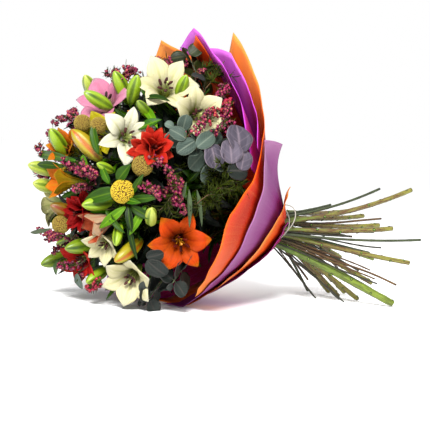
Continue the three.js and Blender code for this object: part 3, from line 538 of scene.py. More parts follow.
FRESH = leaf_look("fresh", (46, 96, 0), (130, 172, 8), (172, 202, 54), 0.36)
# Near-black leaves that fill the inside of the head: painted shade
PAINTED_SHADE_LEAF = leaf_look("deep", (2, 8, 2), (14, 34, 6), (34, 60, 16), 0.5, specular=0.08)
SAGE = leaf_look("willow", (62, 78, 58), (112, 126, 96), (134, 140, 110), 0.6, 6.0)
GUM = leaf_look("gum", (62, 76, 70), (122, 136, 126), (160, 168, 154), 0.62, 4.0, ribs=44.0)
MAUVE = leaf_look("gum_mauve", (84, 80, 90), (142, 134, 146), (176, 162, 170), 0.6, 4.0, ribs=22.0)
GUM_DARK = leaf_look("gum_dark", (36, 44, 40), (82, 88, 84), (110, 104, 100), 0.5, 4.0, ribs=44.0)
GUM_OLIVE = leaf_look("gum_olive", (30, 38, 18), (78, 90, 50), (116, 112, 84), 0.42, 4.0, ribs=30.0)
NEEDLE = leaf_look("needle", (14, 22, 3), (98, 110, 36), (138, 148, 66), 0.5, 4.0, specular=0.08)
LIME = bud_look("lime", (168, 194, 54), (86, 116, 14), (108, 144, 26), (202, 214, 100))
PALE = bud_look("pale", (196, 208, 98), (126, 152, 38), (130, 162, 44), (230, 230, 156))
RIPE = bud_look("ripe", (186, 176, 44), (196, 116, 26), (120, 140, 30), (216, 160, 60))
BRONZE = bud_look("bronze", (140, 112, 26), (150, 66, 16), (96, 104, 22), (176, 140, 44))
OLIVE = bud_look("olive", (136, 160, 40), (70, 98, 18), (84, 116, 26), (180, 186, 84))
STEM = stem_look("lily", (176, 176, 88), (158, 150, 88), (118, 144, 54), (122, 80, 64))
GREEN_STEM = stem_look("green", (170, 186, 78), (142, 162, 62), (112, 144, 50), (112, 124, 52))
WOOD = stem_look("woody", (146, 116, 64), (138, 106, 64), (84, 88, 42), (62, 40, 28))
GREY_STEM = stem_look("grey", (92, 106, 66), (94, 106, 66), (104, 114, 82), (52, 52, 34))
DARK_STEM = stem_look("dark", (70, 72, 42), (70, 66, 40), (60, 60, 34), (34, 26, 20))
SCAR = plain_look("leaf_scar", (150, 204, 40), (184, 226, 70), 0.5, 300.0)
SCAR_RIM = plain_look("leaf_scar_rim", (60, 50, 24), (84, 74, 36), 0.6, 300.0)
PITH = plain_look("cut_end", (150, 160, 96), (206, 210, 150), 0.8, 700.0, 0.8)
# Craspedia florets run from dark at their feet to light at their tips, and the core under them is dark:
# painted shade in the gaps between the florets
GOLD = plain_look("craspedia_bright", (186, 144, 4), (255, 234, 56), 0.6, 900.0, 0.5, along=True)
MUSTARD = plain_look("craspedia_dull", (118, 96, 22), (202, 180, 78), 0.7, 900.0, 0.5, along=True)
CORE = plain_look("craspedia_core", (120, 84, 14), (150, 108, 22), 0.9, 500.0, 0.5)
MAGENTA = plain_look("floret", (104, 16, 62), (206, 52, 130), 0.5, 500.0)
CERISE = plain_look("floret_bright", (160, 14, 70), (232, 40, 110), 0.5, 500.0)
SPECK = plain_look("floret_middle", (214, 150, 30), (246, 214, 90), 0.6, 500.0)
PAPER_ORANGE = paper_look("orange", (255, 192, 112), (250, 134, 24), (240, 74, 18), (194, 8, 30))
PAPER_MAUVE = paper_look("mauve", (208, 162, 200), (184, 122, 176), (156, 56, 146), (136, 20, 108))
PAPER_PURPLE = paper_look("purple", (240, 168, 248), (228, 110, 240), (212, 46, 168), (196, 24, 108))
# A brighter copy of the purple paper for the low sheet, which lies in shade: painted light
PAPER_LOW_PAINTED_LIGHT = paper_look("purple_low", (210, 150, 212), (200, 100, 200), (184, 50, 146), (176, 24, 84))
STRING = plain_look("twine", (196, 188, 176), (244, 240, 232), 0.8, 900.0, 0.9)

# What grows in the bouquet. Places are (around, out, reach) from the dome's middle, faces (around, out).
# A lily is (name, its blooms, its buds). A bloom is (name, place, face, length, open, roll, petals' look,
# breadth of its petals); a bud is (tip, base, look).

LILIES = [
    ("pink_lily",
     [("pink_lily_bloom", (357, 37, 170), (41, 30), 80, 0.72, 10, PINK, 1.15)],
     [((339, 43, 219), (326, 48, 174), PALE), ((11, 29, 216), (13, 35, 167), LIME),
      ((8, 45, 212), (5, 47, 152), LIME), ((26, 50, 212), (20, 44, 163), LIME)]),
    ("white_lily_1",
     [("white_lily_bloom_1", (65, 39, 186), (84, 74), 68, 0.85, 22, WHITE, 1.05)],
     [((46, 46, 208), (47, 50, 168), OLIVE)]),
    ("white_lily_2",
     [("white_lily_bloom_2", (27, 62, 182), (64, 60), 80, 0.66, 0, CREAM, 1.2)],
     [((33, 69, 212), (30, 68, 166), LIME)]),
    ("white_lily_3",
     [("white_lily_bloom_3", (51, 72, 184), (88, 73), 72, 0.5, 40, CREAM, 1.3)],
     []),
    ("white_lily_4",
     [("white_lily_bloom_4", (148, 69, 186), (135, 54), 72, 0.46, 15, CREAM, 1.35)],
     [((166, 58, 210), (168, 63, 164), LIME)]),
    ("white_lily_5",
     [("white_lily_bloom_5", (144, 49, 178), (151, 49), 56, 0.4, 35, CREAM, 1.2)],
     [((131, 53, 208), (126, 48, 173), LIME), ((126, 32, 208), (120, 37, 157), LIME)]),
    ("orange_lily_1",
     [("orange_lily_bloom_1", (117, 77, 178), (105, 66), 70, 0.85, 8, ORANGE, 1.2)],
     [((105, 58, 206), (116, 61, 172), PALE)]),
    ("orange_lily_2",
     [("orange_lily_bloom_2", (155, 12, 180), (217, 17), 62, 0.18, 20, AMBER, 1.35),
      ("orange_lily_bloom_3", (321, 7, 176), (73, 16), 54, 0.4, 0, AMBER, 1.1)],
     [((258, 25, 216), (260, 34, 170), PALE), ((348, 10, 216), (282, 9, 168), LIME),
      ((210, 15, 214), (226, 22, 166), PALE)]),
    ("salmon_lily",
     [("salmon_lily_bloom", (134, 41, 178), (190, 39), 66, 0.14, 0, SALMON, 1.3)],
     [((139, 57, 208), (131, 62, 155), RIPE), ((164, 22, 208), (167, 31, 159), BRONZE)]),
    ("red_lily",
     [("red_lily_bloom", (174, 51, 180), (153, 40), 62, 0.5, 28, RED, 1.2)],
     [((165, 41, 208), (166, 48, 152), OLIVE), ((202, 52, 226), (208, 60, 177), OLIVE)]),
    ("yellow_lily",
     [("yellow_lily_bloom", (48, 25, 170), (89, 24), 60, 0.6, 0, YELLOW, 1.2)],
     [((46, 16, 210), (83, 23, 166), RIPE), ((91, 30, 206), (93, 33, 171), LIME)]),
    ("white_lily_6",
     [("white_lily_bloom_6", (242, 50, 186), (244, 50), 64, 0.9, 0, WHITE, 1.1)],
     [((228, 66, 210), (228, 70, 158), LIME)]),
    ("pink_lily_2",
     [("pink_lily_bloom_2", (296, 62, 184), (296, 60), 64, 0.85, 20, PINK, 1.1)],
     [((318, 56, 212), (318, 60, 158), LIME)]),
    ("bud_lily",
     [],
     [((262, 76, 208), (262, 80, 152), LIME), ((278, 84, 204), (278, 88, 152), OLIVE)]),
]
ALSTROEMERIAS = [
    ("alstroemeria_1", (74, 52, 193), (84, 66), 40, 0.5, 15, SCARLET),
    ("alstroemeria_2", (146, 30, 186), (150, 24), 40, 0.42, 0, CRIMSON),
]
# Florets beside an alstroemeria's main one: (spin, tilt, open, size)
BESIDE = [(200, 46, 0.08, 0.95), (80, 50, 0.18, 0.85), (320, 44, 0.1, 0.8)]
# (name, place, radius, look)
CRASPEDIAS = [
    ("craspedia_1", (104, 43, 188), 17.5, GOLD),
    ("craspedia_2", (85, 48, 186), 15.5, MUSTARD),
    ("craspedia_3", (37, 20, 200), 13, MUSTARD),
    ("craspedia_4", (52, 27, 198), 12.5, MUSTARD),
    ("craspedia_5", (167, 31, 196), 14, MUSTARD),
    ("craspedia_6", (266, 56, 186), 16, GOLD),
]
# (name, tips of its twigs)
BORONIAS = [
    ("boronia_1", [(104, 20, 202), (122, 24, 202), (98, 10, 204)]),
    ("boronia_2", [(213, 41, 208), (187, 43, 206), (172, 56, 204)]),
    ("boronia_3", [(88, 62, 194), (99, 66, 190), (96, 55, 192)]),
    ("boronia_4", [(54, 88, 192), (62, 78, 192), (42, 84, 200)]),
    ("boronia_5", [(2, 68, 206), (344, 62, 206), (14, 76, 206)]),
    ("boronia_6", [(284, 46, 206), (258, 38, 206), (240, 62, 206)]),
]
WAXFLOWER = ("waxflower_foliage", [(84, 90, 178), (96, 80, 184), (74, 84, 184)])
# (name, tip, sway, pairs of leaves, look)
EUCALYPTS = [
    ("eucalyptus_1", (62, 60, 194), (74, 96, 176), 5, GUM),
    ("eucalyptus_2", (150, 80, 204), (147, 84, 178), 4, GUM_DARK),
    ("eucalyptus_3", (135, 83, 200), (129, 87, 174), 4, GUM_DARK),
    ("eucalyptus_4", (6, 80, 222), (22, 84, 186), 5, GUM_OLIVE),
    ("eucalyptus_5", (228, 80, 212), (220, 76, 180), 4, GUM),
]

# Stems: their fork, their place at the tie, and the path between, the same as the solids'

FORK_BASE = on_axis(100)
FORK_SHARE = 0.7
WAIST_RADIUS = 31
STEM_ROOM = 0.9
STEM_SPIRAL = 0.019
HEAD_SPREAD = 5.8e-5
FAN_LENGTH = 290
FAN_DROP = 26
FAN_TALLER = 0.45
FAN_SOFT = 0.17
SHOOT_RADIUS = 1.6
TWIG_BARE = 0.42
LILY_THICK, BUD_LILY_THICK, ALSTROEMERIA_THICK = 4.1, 6.3, 2.6
CRASPEDIA_THICK, TWIG_THICK, EUCALYPT_THICK = 1.8, 2, 2.3
STOUT = 3  # stems over this radius are lilies', which are longer and have more leaves


class Plant:
    def __init__(self, kind, name, ends, thick, chance, **rest):
        self.kind, self.name, self.ends, self.thick = kind, name, ends, thick
        self.__dict__.update(rest)
        self.fork = FORK_BASE + (np.mean(ends, axis=0) - FORK_BASE) * FORK_SHARE
        self.below = FAN_LENGTH * (0.72 + 0.32 * chance if thick > STOUT else 0.5 + 0.48 * chance)
        offset = self.fork - TIE
        self.fork_along = offset @ AXIS
        at_fork = complex(offset @ UP, offset @ NEAR) * np.exp(-1j * turn_at(self.fork_along))
        self.wanted = at_fork / spread_at(self.fork_along)
        self.waist = self.wanted

    def path(self, along):
        moved = self.waist - self.wanted
        fade = 1 - along / self.fork_along if along > 0 else 1
        side = (self.wanted + moved * fade) * np.exp(1j * turn_at(along)) * spread_at(along)
        below = fan_share(along)
        rise = side.real * (1 + FAN_TALLER * below) - FAN_DROP * below
        return on_axis(along) + UP * rise + NEAR * side.imag

    def stem(self, along):
        """A point of the stem, which is raised where its end would be under the floor."""
        lift = max(0, self.thick - self.path(-self.below)[2]) if along < 0 else 0
        return self.path(along) + [0, 0, lift * abs(along / self.below) ** 1.4]

    def direction(self):
        return unit(self.fork - self.stem(self.fork_along - 12))

    def shoot_root(self, k):
        """Where the shoot to the end k starts: the shoots stand in a ring, in the order of their ends."""
        along = self.direction()
        u = unit(np.cross([0, 0, 1.0], along))
        v = np.cross(along, u)
        count = len(self.ends)
        angles = [math.atan2((e - self.fork) @ v, (e - self.fork) @ u) for e in self.ends]
        order = sorted(range(count), key=lambda i: angles[i])
        shifts = [angles[i] - 2 * math.pi * n / count for n, i in enumerate(order)]
        shift = math.atan2(sum(map(math.sin, shifts)), sum(map(math.cos, shifts)))
        angle = shift + 2 * math.pi * order.index(k) / count
        off = 1.15 * SHOOT_RADIUS / math.sin(math.pi / max(count, 3)) if count > 1 else 0
        return self.fork + u * off * math.cos(angle) + v * off * math.sin(angle) - along * 1.5

    def shoot(self, k, end, share):
        """The shoot to the end k: its start, the lever that keeps it to the stem's direction, and its end."""
        start = self.shoot_root(k)
        return start, start + self.direction() * np.linalg.norm(end - start) * share, end


def fan_share(along):
    """How far down the fan a point is, which starts softly at the tie."""
    if along >= 0:
        return 0
    return (math.hypot(along / FAN_LENGTH, FAN_SOFT) - FAN_SOFT) / (math.hypot(1, FAN_SOFT) - FAN_SOFT)


def turn_at(along):
    return math.atan(STEM_SPIRAL * along)


def spread_at(along):
    return math.sqrt(1 + (STEM_SPIRAL * along) ** 2) + (HEAD_SPREAD * along * along if along > 0 else 0)


def grow_plants():
    chance = draws(11)
    plants = []

    def grow(kind, name, ends, thick, **rest):
        plants.append(Plant(kind, name, ends, thick, next(chance), **rest))

    for name, blooms, buds in LILIES:
        blooms = [Bloom(*facts, "lily") for facts in blooms]
        ends = [b.base for b in blooms] + [spot(tip) for tip, _, _ in buds]
        thick, look = (LILY_THICK, STEM) if blooms else (BUD_LILY_THICK, GREEN_STEM)
        grow("lily", name, ends, thick, blooms=blooms, buds=buds, look=look)
    for name, *facts in ALSTROEMERIAS:
        bloom = Bloom(name + "_bloom", *facts, 1, "alstroemeria")
        grow("lily", name, [bloom.base], ALSTROEMERIA_THICK, blooms=[bloom], buds=[], look=GREEN_STEM)
    for name, place, radius, look in CRASPEDIAS:
        grow("craspedia", name, [spot(place)], CRASPEDIA_THICK, radius=radius, look=look)
    for name, tips in BORONIAS:
        grow("spray", name, [spot(t) for t in tips], TWIG_THICK)
    for name, tip, sway, pairs, look in EUCALYPTS:
        grow("eucalyptus", name, [spot(sway)], EUCALYPT_THICK, tip=spot(tip), pairs=pairs, look=look)
    name, tips = WAXFLOWER
    grow("needles", name, [spot(t) for t in tips], TWIG_THICK)
    pack_waist(plants)
    return plants


def pack_waist(plants):
    """Moves the stems apart at the tie, and into the twine."""
    for _ in range(400):
        for i, a in enumerate(plants):
            for b in plants[i + 1 :]:
                between = b.waist - a.waist
                short = a.thick + b.thick + STEM_ROOM - abs(between)
                if short > 0:
                    push = between / abs(between) * (short / 2 + 0.01)
                    a.waist -= push
                    b.waist += push
            room = WAIST_RADIUS - a.thick
            if abs(a.waist) > room:
                a.waist *= room / abs(a.waist)


# Blooms. A petal's bend at its foot is start, in degrees from the bloom's axis; every other one is narrow

FLOWER = {
    "lily": dict(width=0.215, start=10, narrow=0.76, cup=0.3),
    "alstroemeria": dict(width=0.27, start=22, narrow=0.8, cup=0.36),
}
PETAL = ([0, 0.1, 0.25, 0.4, 0.55, 0.7, 0.82, 0.91, 0.97, 1],
         [0.3, 0.4, 0.66, 0.9, 1, 0.92, 0.7, 0.4, 0.16, 0.03])
PETALS = 6
PETAL_STEPS = 8
PETAL_THICK, FLORET_THICK = 0.55, 0.5
CLOSED_LEAN, OPEN_LEAN = 28, 112  # how far a petal's tip leans out when closed, and what opening adds
STAMENS_SHOW = 0.3  # blooms that are less open than this hide them
BACKS = {WHITE: GREEN_BACK, CREAM: GREEN_BACK, YELLOW: GREEN_BACK,
         PINK: PINK_BACK, AMBER: OLIVE_BACK, SALMON: PALE_BACK}
STYLES = {ORANGE: STYLE, AMBER: STYLE, SCARLET: RUST, CRIMSON: RUST}
ANTHER = [(0, 0.25), (0.12, 0.8), (0.35, 1), (0.65, 1), (0.88, 0.8), (1, 0.25)]
SHARE_7 = np.linspace(0, 1, 7)


class Bloom:
    def __init__(self, name, place, face, length, open_, roll, look, broad, kind):
        self.name, self.kind, self.look, self.broad = name, kind, look, broad
        self.length, self.open, self.roll = length, open_, math.radians(roll)
        self.facing = heading(*face)
        self.base = spot(place) - self.facing * length * 0.5
        helper = np.array([1.0, 0, 0]) if abs(self.facing[2]) > 0.9 else np.array([0, 0, 1.0])
        self.first = unit(np.cross(helper, self.facing))

    def beside(self, spin, tilt, open_, size):
        """A smaller floret from the same base, tilted away."""
        other = copy.copy(self)
        side = turn(self.first, self.facing, math.radians(spin))
        tilt = math.radians(tilt)
        other.facing = unit(self.facing * math.cos(tilt) + side * math.sin(tilt))
        other.first = unit(np.cross(side, other.facing))
        other.open, other.length = open_, self.length * size
        return other

    def outward(self, degrees):
        return turn(self.first, self.facing, self.roll + math.radians(degrees))

    def petal(self, k, rng, rows=22, columns=10):
        """One petal's grid of points and its lay."""
        form = FLOWER[self.kind]
        share = (1.05 if k % 2 else 0.95) * (1 + 0.07 * (rng.random() - 0.5))
        last = CLOSED_LEAN + OPEN_LEAN * self.open * share
        length = self.length * (1 + 0.06 * (rng.random() - 0.5))

        def lean(far):
            return np.radians(form["start"] + (last - form["start"]) * far**1.9)

        def walk(steps):
            return np.concatenate([[0], np.cumsum(steps)])[::PETAL_STEPS] * length / (PETAL_STEPS * rows)

        u, v = np.linspace(0, 1, rows + 1)[:, None], np.linspace(-1, 1, columns + 1)[None]
        fine = np.linspace(0, 1, PETAL_STEPS * rows + 1)
        middles = lean((fine[1:] + fine[:-1]) / 2)
        out, ahead = (3.4 + walk(np.sin(middles)))[:, None], walk(np.cos(middles))[:, None]
        outward = self.outward(60 * k + 7 * (rng.random() - 0.5))
        across = np.cross(self.facing, outward)
        normal = np.sin(lean(u)) * self.facing - np.cos(lean(u)) * outward
        sway = length * 0.05 * (rng.random() - 0.5) * u**2
        layer = -0.9 if k % 2 else 0.6
        spine = self.base + out * outward + ahead * self.facing + normal * layer * u**0.5 + sway * across
        wide = form["width"] * self.broad * self.length * (form["narrow"] if k % 2 else 1)
        half = np.minimum(wide * np.interp(u, *PETAL), out * math.tan(math.radians(30)) * 1.25 + 0.6)
        phase = rng.random(2) * 6.28
        ripple = np.sin(11 * u + np.where(v < 0, *phase))
        ripple = ripple * 0.035 * self.length * u * (1.15 - u) * np.abs(v) ** 2.2 * 1.6
        cup = form["cup"] * (1.15 - 0.9 * u) * half * v**2
        groove = -0.022 * self.length * u * (1 - u) * 3 * np.exp(-((v / 0.16) ** 2))
        curl = -0.22 * half * v**4 * u**2
        lift = ripple + cup + groove + curl
        points = spine[:, None] + across * (half * v)[..., None] + normal[:, None] * lift[..., None]
        return points[None], lay_of(points, u, v, rng.random())[None]


def build_bloom(bloom, rng):
    pile = Pile()
    look, f, base, size = bloom.look, bloom.facing, bloom.base, bloom.length
    back = BACKS.get(look, look)
    style = STYLES.get(look, FILAMENT)
    for k in range(PETALS):
        pile.slabs(*bloom.petal(k, rng), look, PETAL_THICK, back)
    if bloom.kind == "alstroemeria":
        for facts in BESIDE:
            other = bloom.beside(*facts)
            for k in range(PETALS):
                pile.slabs(*other.petal(k, rng, 12, 6), look, FLORET_THICK, back)
    pile.turned(base - f * 1.2, f, 9, 4.4, [(0, 0.55), (0.3, 0.9), (1, 0.75)], look, 12)
    if bloom.open > STAMENS_SHOW:
        spread = math.radians(4 + 11 * bloom.open)
        tips, axes = [], []
        for k in range(PETALS):
            outward = bloom.outward(60 * k + 30 + 14 * (rng.random() - 0.5))
            lean = spread * (0.8 + 0.4 * rng.random())
            away = f * math.cos(lean) + outward * math.sin(lean)
            reach = size * (0.56 + 0.08 * rng.random())
            filament = arc(base + f * 3, base + f * reach * 0.5 + outward * 1.2, base + away * reach)
            pile.tube(filament(SHARE_7), [0.7] * 6 + [0.45], style, 5)
            tips.append(base + away * reach)
            axes.append(unit(away + outward * rng.uniform(0.2, 0.9) + 0.3 * np.cross(outward, f)))
        tips, axes = np.array(tips), np.array(axes)
        long = 0.15 * size if bloom.kind == "lily" else 4.0
        anther = RUST if look in (ORANGE, AMBER, SCARLET) else POLLEN
        chance = rng.random(PETALS)
        pile.turned(tips - axes * long / 2, axes, long, long * 0.2, ANTHER, anther, 8, 2, 0.3, chance=chance)
    end = base + f * size * 0.7 + bloom.first * 2
    pile.tube(arc(base + f * 3, base + f * size * 0.42, end)(SHARE_7), [0.9] * 6 + [1.2], style, 6)
    pile.turned(end - f * 0.6, f, 2.4, 2.4, [(0, 0.4), (0.5, 1), (1, 0.5)], style, 9, 3, 0.4)
    publish(bloom.name + "_petals", pile, [bloom.name])


# Stems, stalks, buds and leaves

BUD = [(0, 0.26), (0.03, 0.4), (0.1, 0.62), (0.2, 0.82), (0.33, 0.96), (0.46, 1), (0.6, 0.98), (0.72, 0.9),
       (0.83, 0.74), (0.91, 0.54), (0.96, 0.35), (0.99, 0.2), (1, 0.06)]
BUD_GIRTH = 0.4
SCARS = 16
KNUCKLE_SPACE, THIN_KNUCKLE_SPACE = 34, 26
LEAVES_OF_SOLID, LEAVES_OF_LILY, LEAVES_OF_THIN = 2, 15, 7
LEAF_TURN = 2.4  # from one leaf to the next round a stem
CONE_FROM, CONE_TO, CONE_FOOT, CONE_WIDENS = 8, 1.5, 10, 0.55  # the cone in front of a bloom


def stem_tube(pile, plant, look, sides):
    """The stem from its cut end to its fork, with knuckles."""
    stations = np.concatenate([np.linspace(-plant.below, 0, 61)[:-1], np.linspace(0, plant.fork_along, 15)])
    points = np.array([plant.stem(a) for a in stations])
    radii = np.where(stations < 0, plant.thick, plant.thick * (1 - 0.3 * stations / plant.fork_along))
    to_knuckle = (stations + plant.below) % KNUCKLE_SPACE - KNUCKLE_SPACE / 2
    knuckles = 1 + 0.1 * np.exp(-((to_knuckle / 3) ** 2)) + 0.02 * np.sin(stations * 0.5)
    pile.tube(points, radii * knuckles, look, sides, (plant.below * 7) % 1, PITH)


def scars(pile, plant, rng):
    """Where the lower leaves were pulled off: small raised marks in a spiral."""
    along = -np.linspace(20, plant.below - 8, SCARS) - rng.uniform(-5, 5, SCARS)
    centre = np.array([plant.stem(a) for a in along])
    axis = unit(np.array([plant.stem(a - 4) for a in along]) - centre)
    side = turn(unit(np.cross(axis, [[0, 0, 1.0]])), axis, np.arange(SCARS) * LEAF_TURN + rng.random())
    base = centre + side * (plant.thick * 0.72)
    size, sunk = rng.uniform(1.2, 1.9, SCARS), plant.thick * 0.34
    rim, middle = [(0, 0.9), (0.8, 1), (1, 0.6)], [(0, 0.9), (0.6, 1), (1, 0.5)]
    pile.turned(base, side, size * 0.25 + sunk, size * 1.6, rim, SCAR_RIM, 7)
    pile.turned(base, side, size * 0.35 + sunk, size * 1.25, middle, SCAR, 7, chance=rng.random(SCARS))


def solid_leaves(plant):
    """The leaves that the solids have."""
    outward = unit(plant.fork - on_axis(plant.fork_along))
    chance = draws(len(plant.name) * 97 + math.floor(plant.fork_along + 0.5))
    found = []
    for k in range(LEAVES_OF_SOLID):
        side = turn(outward, plant.direction(), math.radians(137.5 * k + 60 * next(chance) - 40))
        length, half = 82 + 16 * next(chance), 8 + 2 * next(chance)
        found.append(leaf_from(plant, plant.fork_along - 10 - 16 * k, side, length, half, 0.85))
    return found


def leaf_from(plant, along, side, length, half, close):
    """A leaf's facts: its root, its way out, which way it droops, its length and half its width."""
    out = unit(plant.direction() * close + side * 0.6)
    return plant.stem(along), out, unit(side * 0.9 - out * 0.3), length, half


def in_front_of_bloom(points):
    """Which of the points are inside a cone in front of a bloom's face."""
    hidden = np.zeros(len(points), bool)
    for plant in plants:
        for bloom in getattr(plant, "blooms", []):
            off = points - bloom.base
            ahead = off @ bloom.facing
            wide = np.linalg.norm(off - ahead[:, None] * bloom.facing, axis=1)
            inside = (ahead > CONE_FROM) & (ahead < CONE_TO * bloom.length)
            hidden |= inside & (wide < CONE_FOOT + CONE_WIDENS * ahead)
    return hidden


def hides_bloom(root, out, length):
    """Whether the outer part of a leaf is in front of a bloom."""
    return in_front_of_bloom(root + out * np.array([[0.6], [0.8], [1]]) * length).any()


def shy(leaf):
    """The leaf, shortened until it no longer stands in front of a bloom."""
    root, out, droop, length, half = leaf
    while length > 40 and hides_bloom(root, out, length):
        length *= 0.9
    return root, out, droop, length, half


def put_leaves(pile, found, look, rng, **facts):
    pile.leaves(*(np.array(x) for x in zip(*found)), look, rng.random(len(found)), **facts)


def build_lily(plant, rng):
    for bloom in plant.blooms:
        build_bloom(bloom, rng)
    pile = Pile()
    stem_tube(pile, plant, plant.look, 12)
    scars(pile, plant, rng)
    for k, end in enumerate([b.base for b in plant.blooms] + [spot(base) for _, base, _ in plant.buds]):
        start, lever, end = plant.shoot(k, end, 0.45)
        pile.twig(arc(start, lever, end), 2.0, 2.5, 9, FRESH, 7, rng.random())
        # a bract where the stalk leaves
        side = unit(np.cross(lever - start, end - start) + 1e-6)
        bract = (start, unit(lever - start + 8 * side), side, 34 + 10 * rng.random(), 4.5)
        put_leaves(pile, [bract], FRESH, rng, rows=6)
    for tip, base, look in plant.buds:
        tip, base = spot(tip), spot(base)
        axis, length = unit(tip - base), np.linalg.norm(tip - base)
        girth = length * BUD_GIRTH / 2
        pile.turned(base, axis, length, girth, BUD, look, 36, BUD_LOBES, 0.17, chance=rng.random())
    put_leaves(pile, [shy(leaf) for leaf in solid_leaves(plant)], LEAF, rng, rows=12)
    more = []
    count = LEAVES_OF_LILY if plant.thick > STOUT else LEAVES_OF_THIN
    for k in range(count):
        side = unit(np.cross(plant.direction(), [0, 0, 1.0]))
        side = turn(side, plant.direction(), LEAF_TURN * k + rng.random())
        along = 62 + (plant.fork_along - 58) * k / count
        leaf = leaf_from(plant, along, side, rng.uniform(48, 76), rng.uniform(5, 8), 0.9)
        if not hides_bloom(leaf[0], leaf[1], leaf[3]):
            more.append(leaf)
    put_leaves(pile, more, LEAF, rng, rows=8, wave=0.1)
    publish(plant.name + "_stem", pile, [plant.name])


BUMPS = 760
BUMP_JITTER = 0.035


def build_craspedia(plant, rng):
    pile = Pile()
    stem_tube(pile, plant, GREY_STEM, 8)
    centre, r = plant.ends[0], plant.radius
    pile.tube([plant.shoot_root(0), centre], [1.6, 1.5], GREY_STEM, 7)
    bumps = sphere_of(BUMPS, rng, BUMP_JITTER)
    ball = [(0.5 - 0.5 * math.cos(math.pi * i / 12), math.sin(math.pi * i / 12) + 0.01) for i in range(13)]
    pile.turned(centre - AXIS * 0.92 * r, AXIS, 1.84 * r, 0.92 * r, ball, CORE, 24, chance=0)
    dome, chance = [(0, 1), (0.75, 0.92), (1, 0.35)], rng.random(len(bumps))
    pile.turned(centre + bumps * 0.86 * r, bumps, 0.15 * r, 0.066 * r, dome, plant.look, 5, chance=chance)
    publish(plant.name + "_flower", pile, [plant.name])


def sphere_of(count, rng, jitter):
    """Even directions, a little disturbed."""
    i = np.arange(count) + 0.5
    z, a = 1 - 2 * i / count, i * GOLDEN_TURN
    r = np.sqrt(1 - z * z)
    points = np.stack([r * np.cos(a), r * np.sin(a), z], -1)
    return unit(points + jitter * rng.normal(size=points.shape))


FLORET = [(0, 0.3), (0.5, 0.88), (1, 1), (0.6, 0.25)]


def florets(pile, curve, look, rng, start, count, band):
    """Small flowers on short side twigs along a curve, with needle leaves between them."""
    u = start + (1 - start) * rng.random(count) ** 0.8
    centre, ahead = curve(u), ahead_on(curve, u)
    away = unit(rng.normal(size=(count, 3)))
    away = unit(away - 0.5 * ahead * (away * ahead).sum(-1, keepdims=True) + 0.5 * ahead)
    far = band * (0.35 + 0.65 * rng.random(count)) * (1.15 - 0.6 * u)
    at = centre + away * far[:, None]
    size, chance = rng.uniform(2.2, 3.3, count), rng.random(count)
    pile.turned(at, away, size * 1.2, size, FLORET, look, 8, alternate=0.38, chance=chance)
    middle = at + away * size[:, None] * 0.5
    pile.turned(middle, away, size * 0.7, size * 0.34, [(0, 1), (1, 0.5)], SPECK, 4, chance=chance)
    for p, q in zip(centre[::2], at[::2]):
        pile.tube([p, q], [0.45, 0.3], WOOD, 3)
    needles(pile, curve, rng, start * 0.8, 34, 9.0, 0.75)


def needles(pile, curve, rng, start, count, length, half=0.8):
    u = start + (1 - start) * rng.random(count)
    ahead = ahead_on(curve, u)
    side = unit(np.cross(ahead, rng.normal(size=(count, 3))))
    out, droop = unit(ahead * 0.75 + side * 0.8), unit(side - ahead)
    long, half = length * rng.uniform(0.7, 1.5, count), np.full(count, half)
    facts = dict(shape="needle", rows=2, columns=1, bend=0.15, cup=0.3)
    pile.leaves(curve(u), out, droop, long, half, NEEDLE, rng.random(count), **facts)


def build_spray(plant, rng):
    """Twigs of boronia, with flowers, or of waxflower, with leaves alone."""
    pile = Pile()
    stem_tube(pile, plant, WOOD, 8)
    flowering = plant.kind == "spray"
    for k, end in enumerate(plant.ends):
        curve = arc(*plant.shoot(k, end, 0.4))
        pile.twig(curve, 1.7, 0.5, 12, WOOD, 6)
        if flowering:
            florets(pile, curve, MAGENTA, rng, 0.45, 56, 8.0)
        else:
            wax_twigs(pile, curve, rng, 9)
    publish(plant.name + "_spray", pile, [plant.name])


def wax_twigs(pile, curve, rng, count):
    """Side twigs set with narrow leaves."""
    for u in np.linspace(0.35, 0.95, count):
        start, ahead = curve(u), ahead_on(curve, u)
        side = unit(np.cross(ahead, rng.normal(size=3)))
        twig = arc(start, start + ahead * 8, start + (ahead * 0.8 + side) * rng.uniform(16, 26))
        pile.twig(twig, 0.6, 0.3, 5, WOOD, 4)
        needles(pile, twig, rng, 0.2, 20, 11.0)
    needles(pile, curve, rng, 0.3, 40, 12.0)


GUM_LEAF = 36


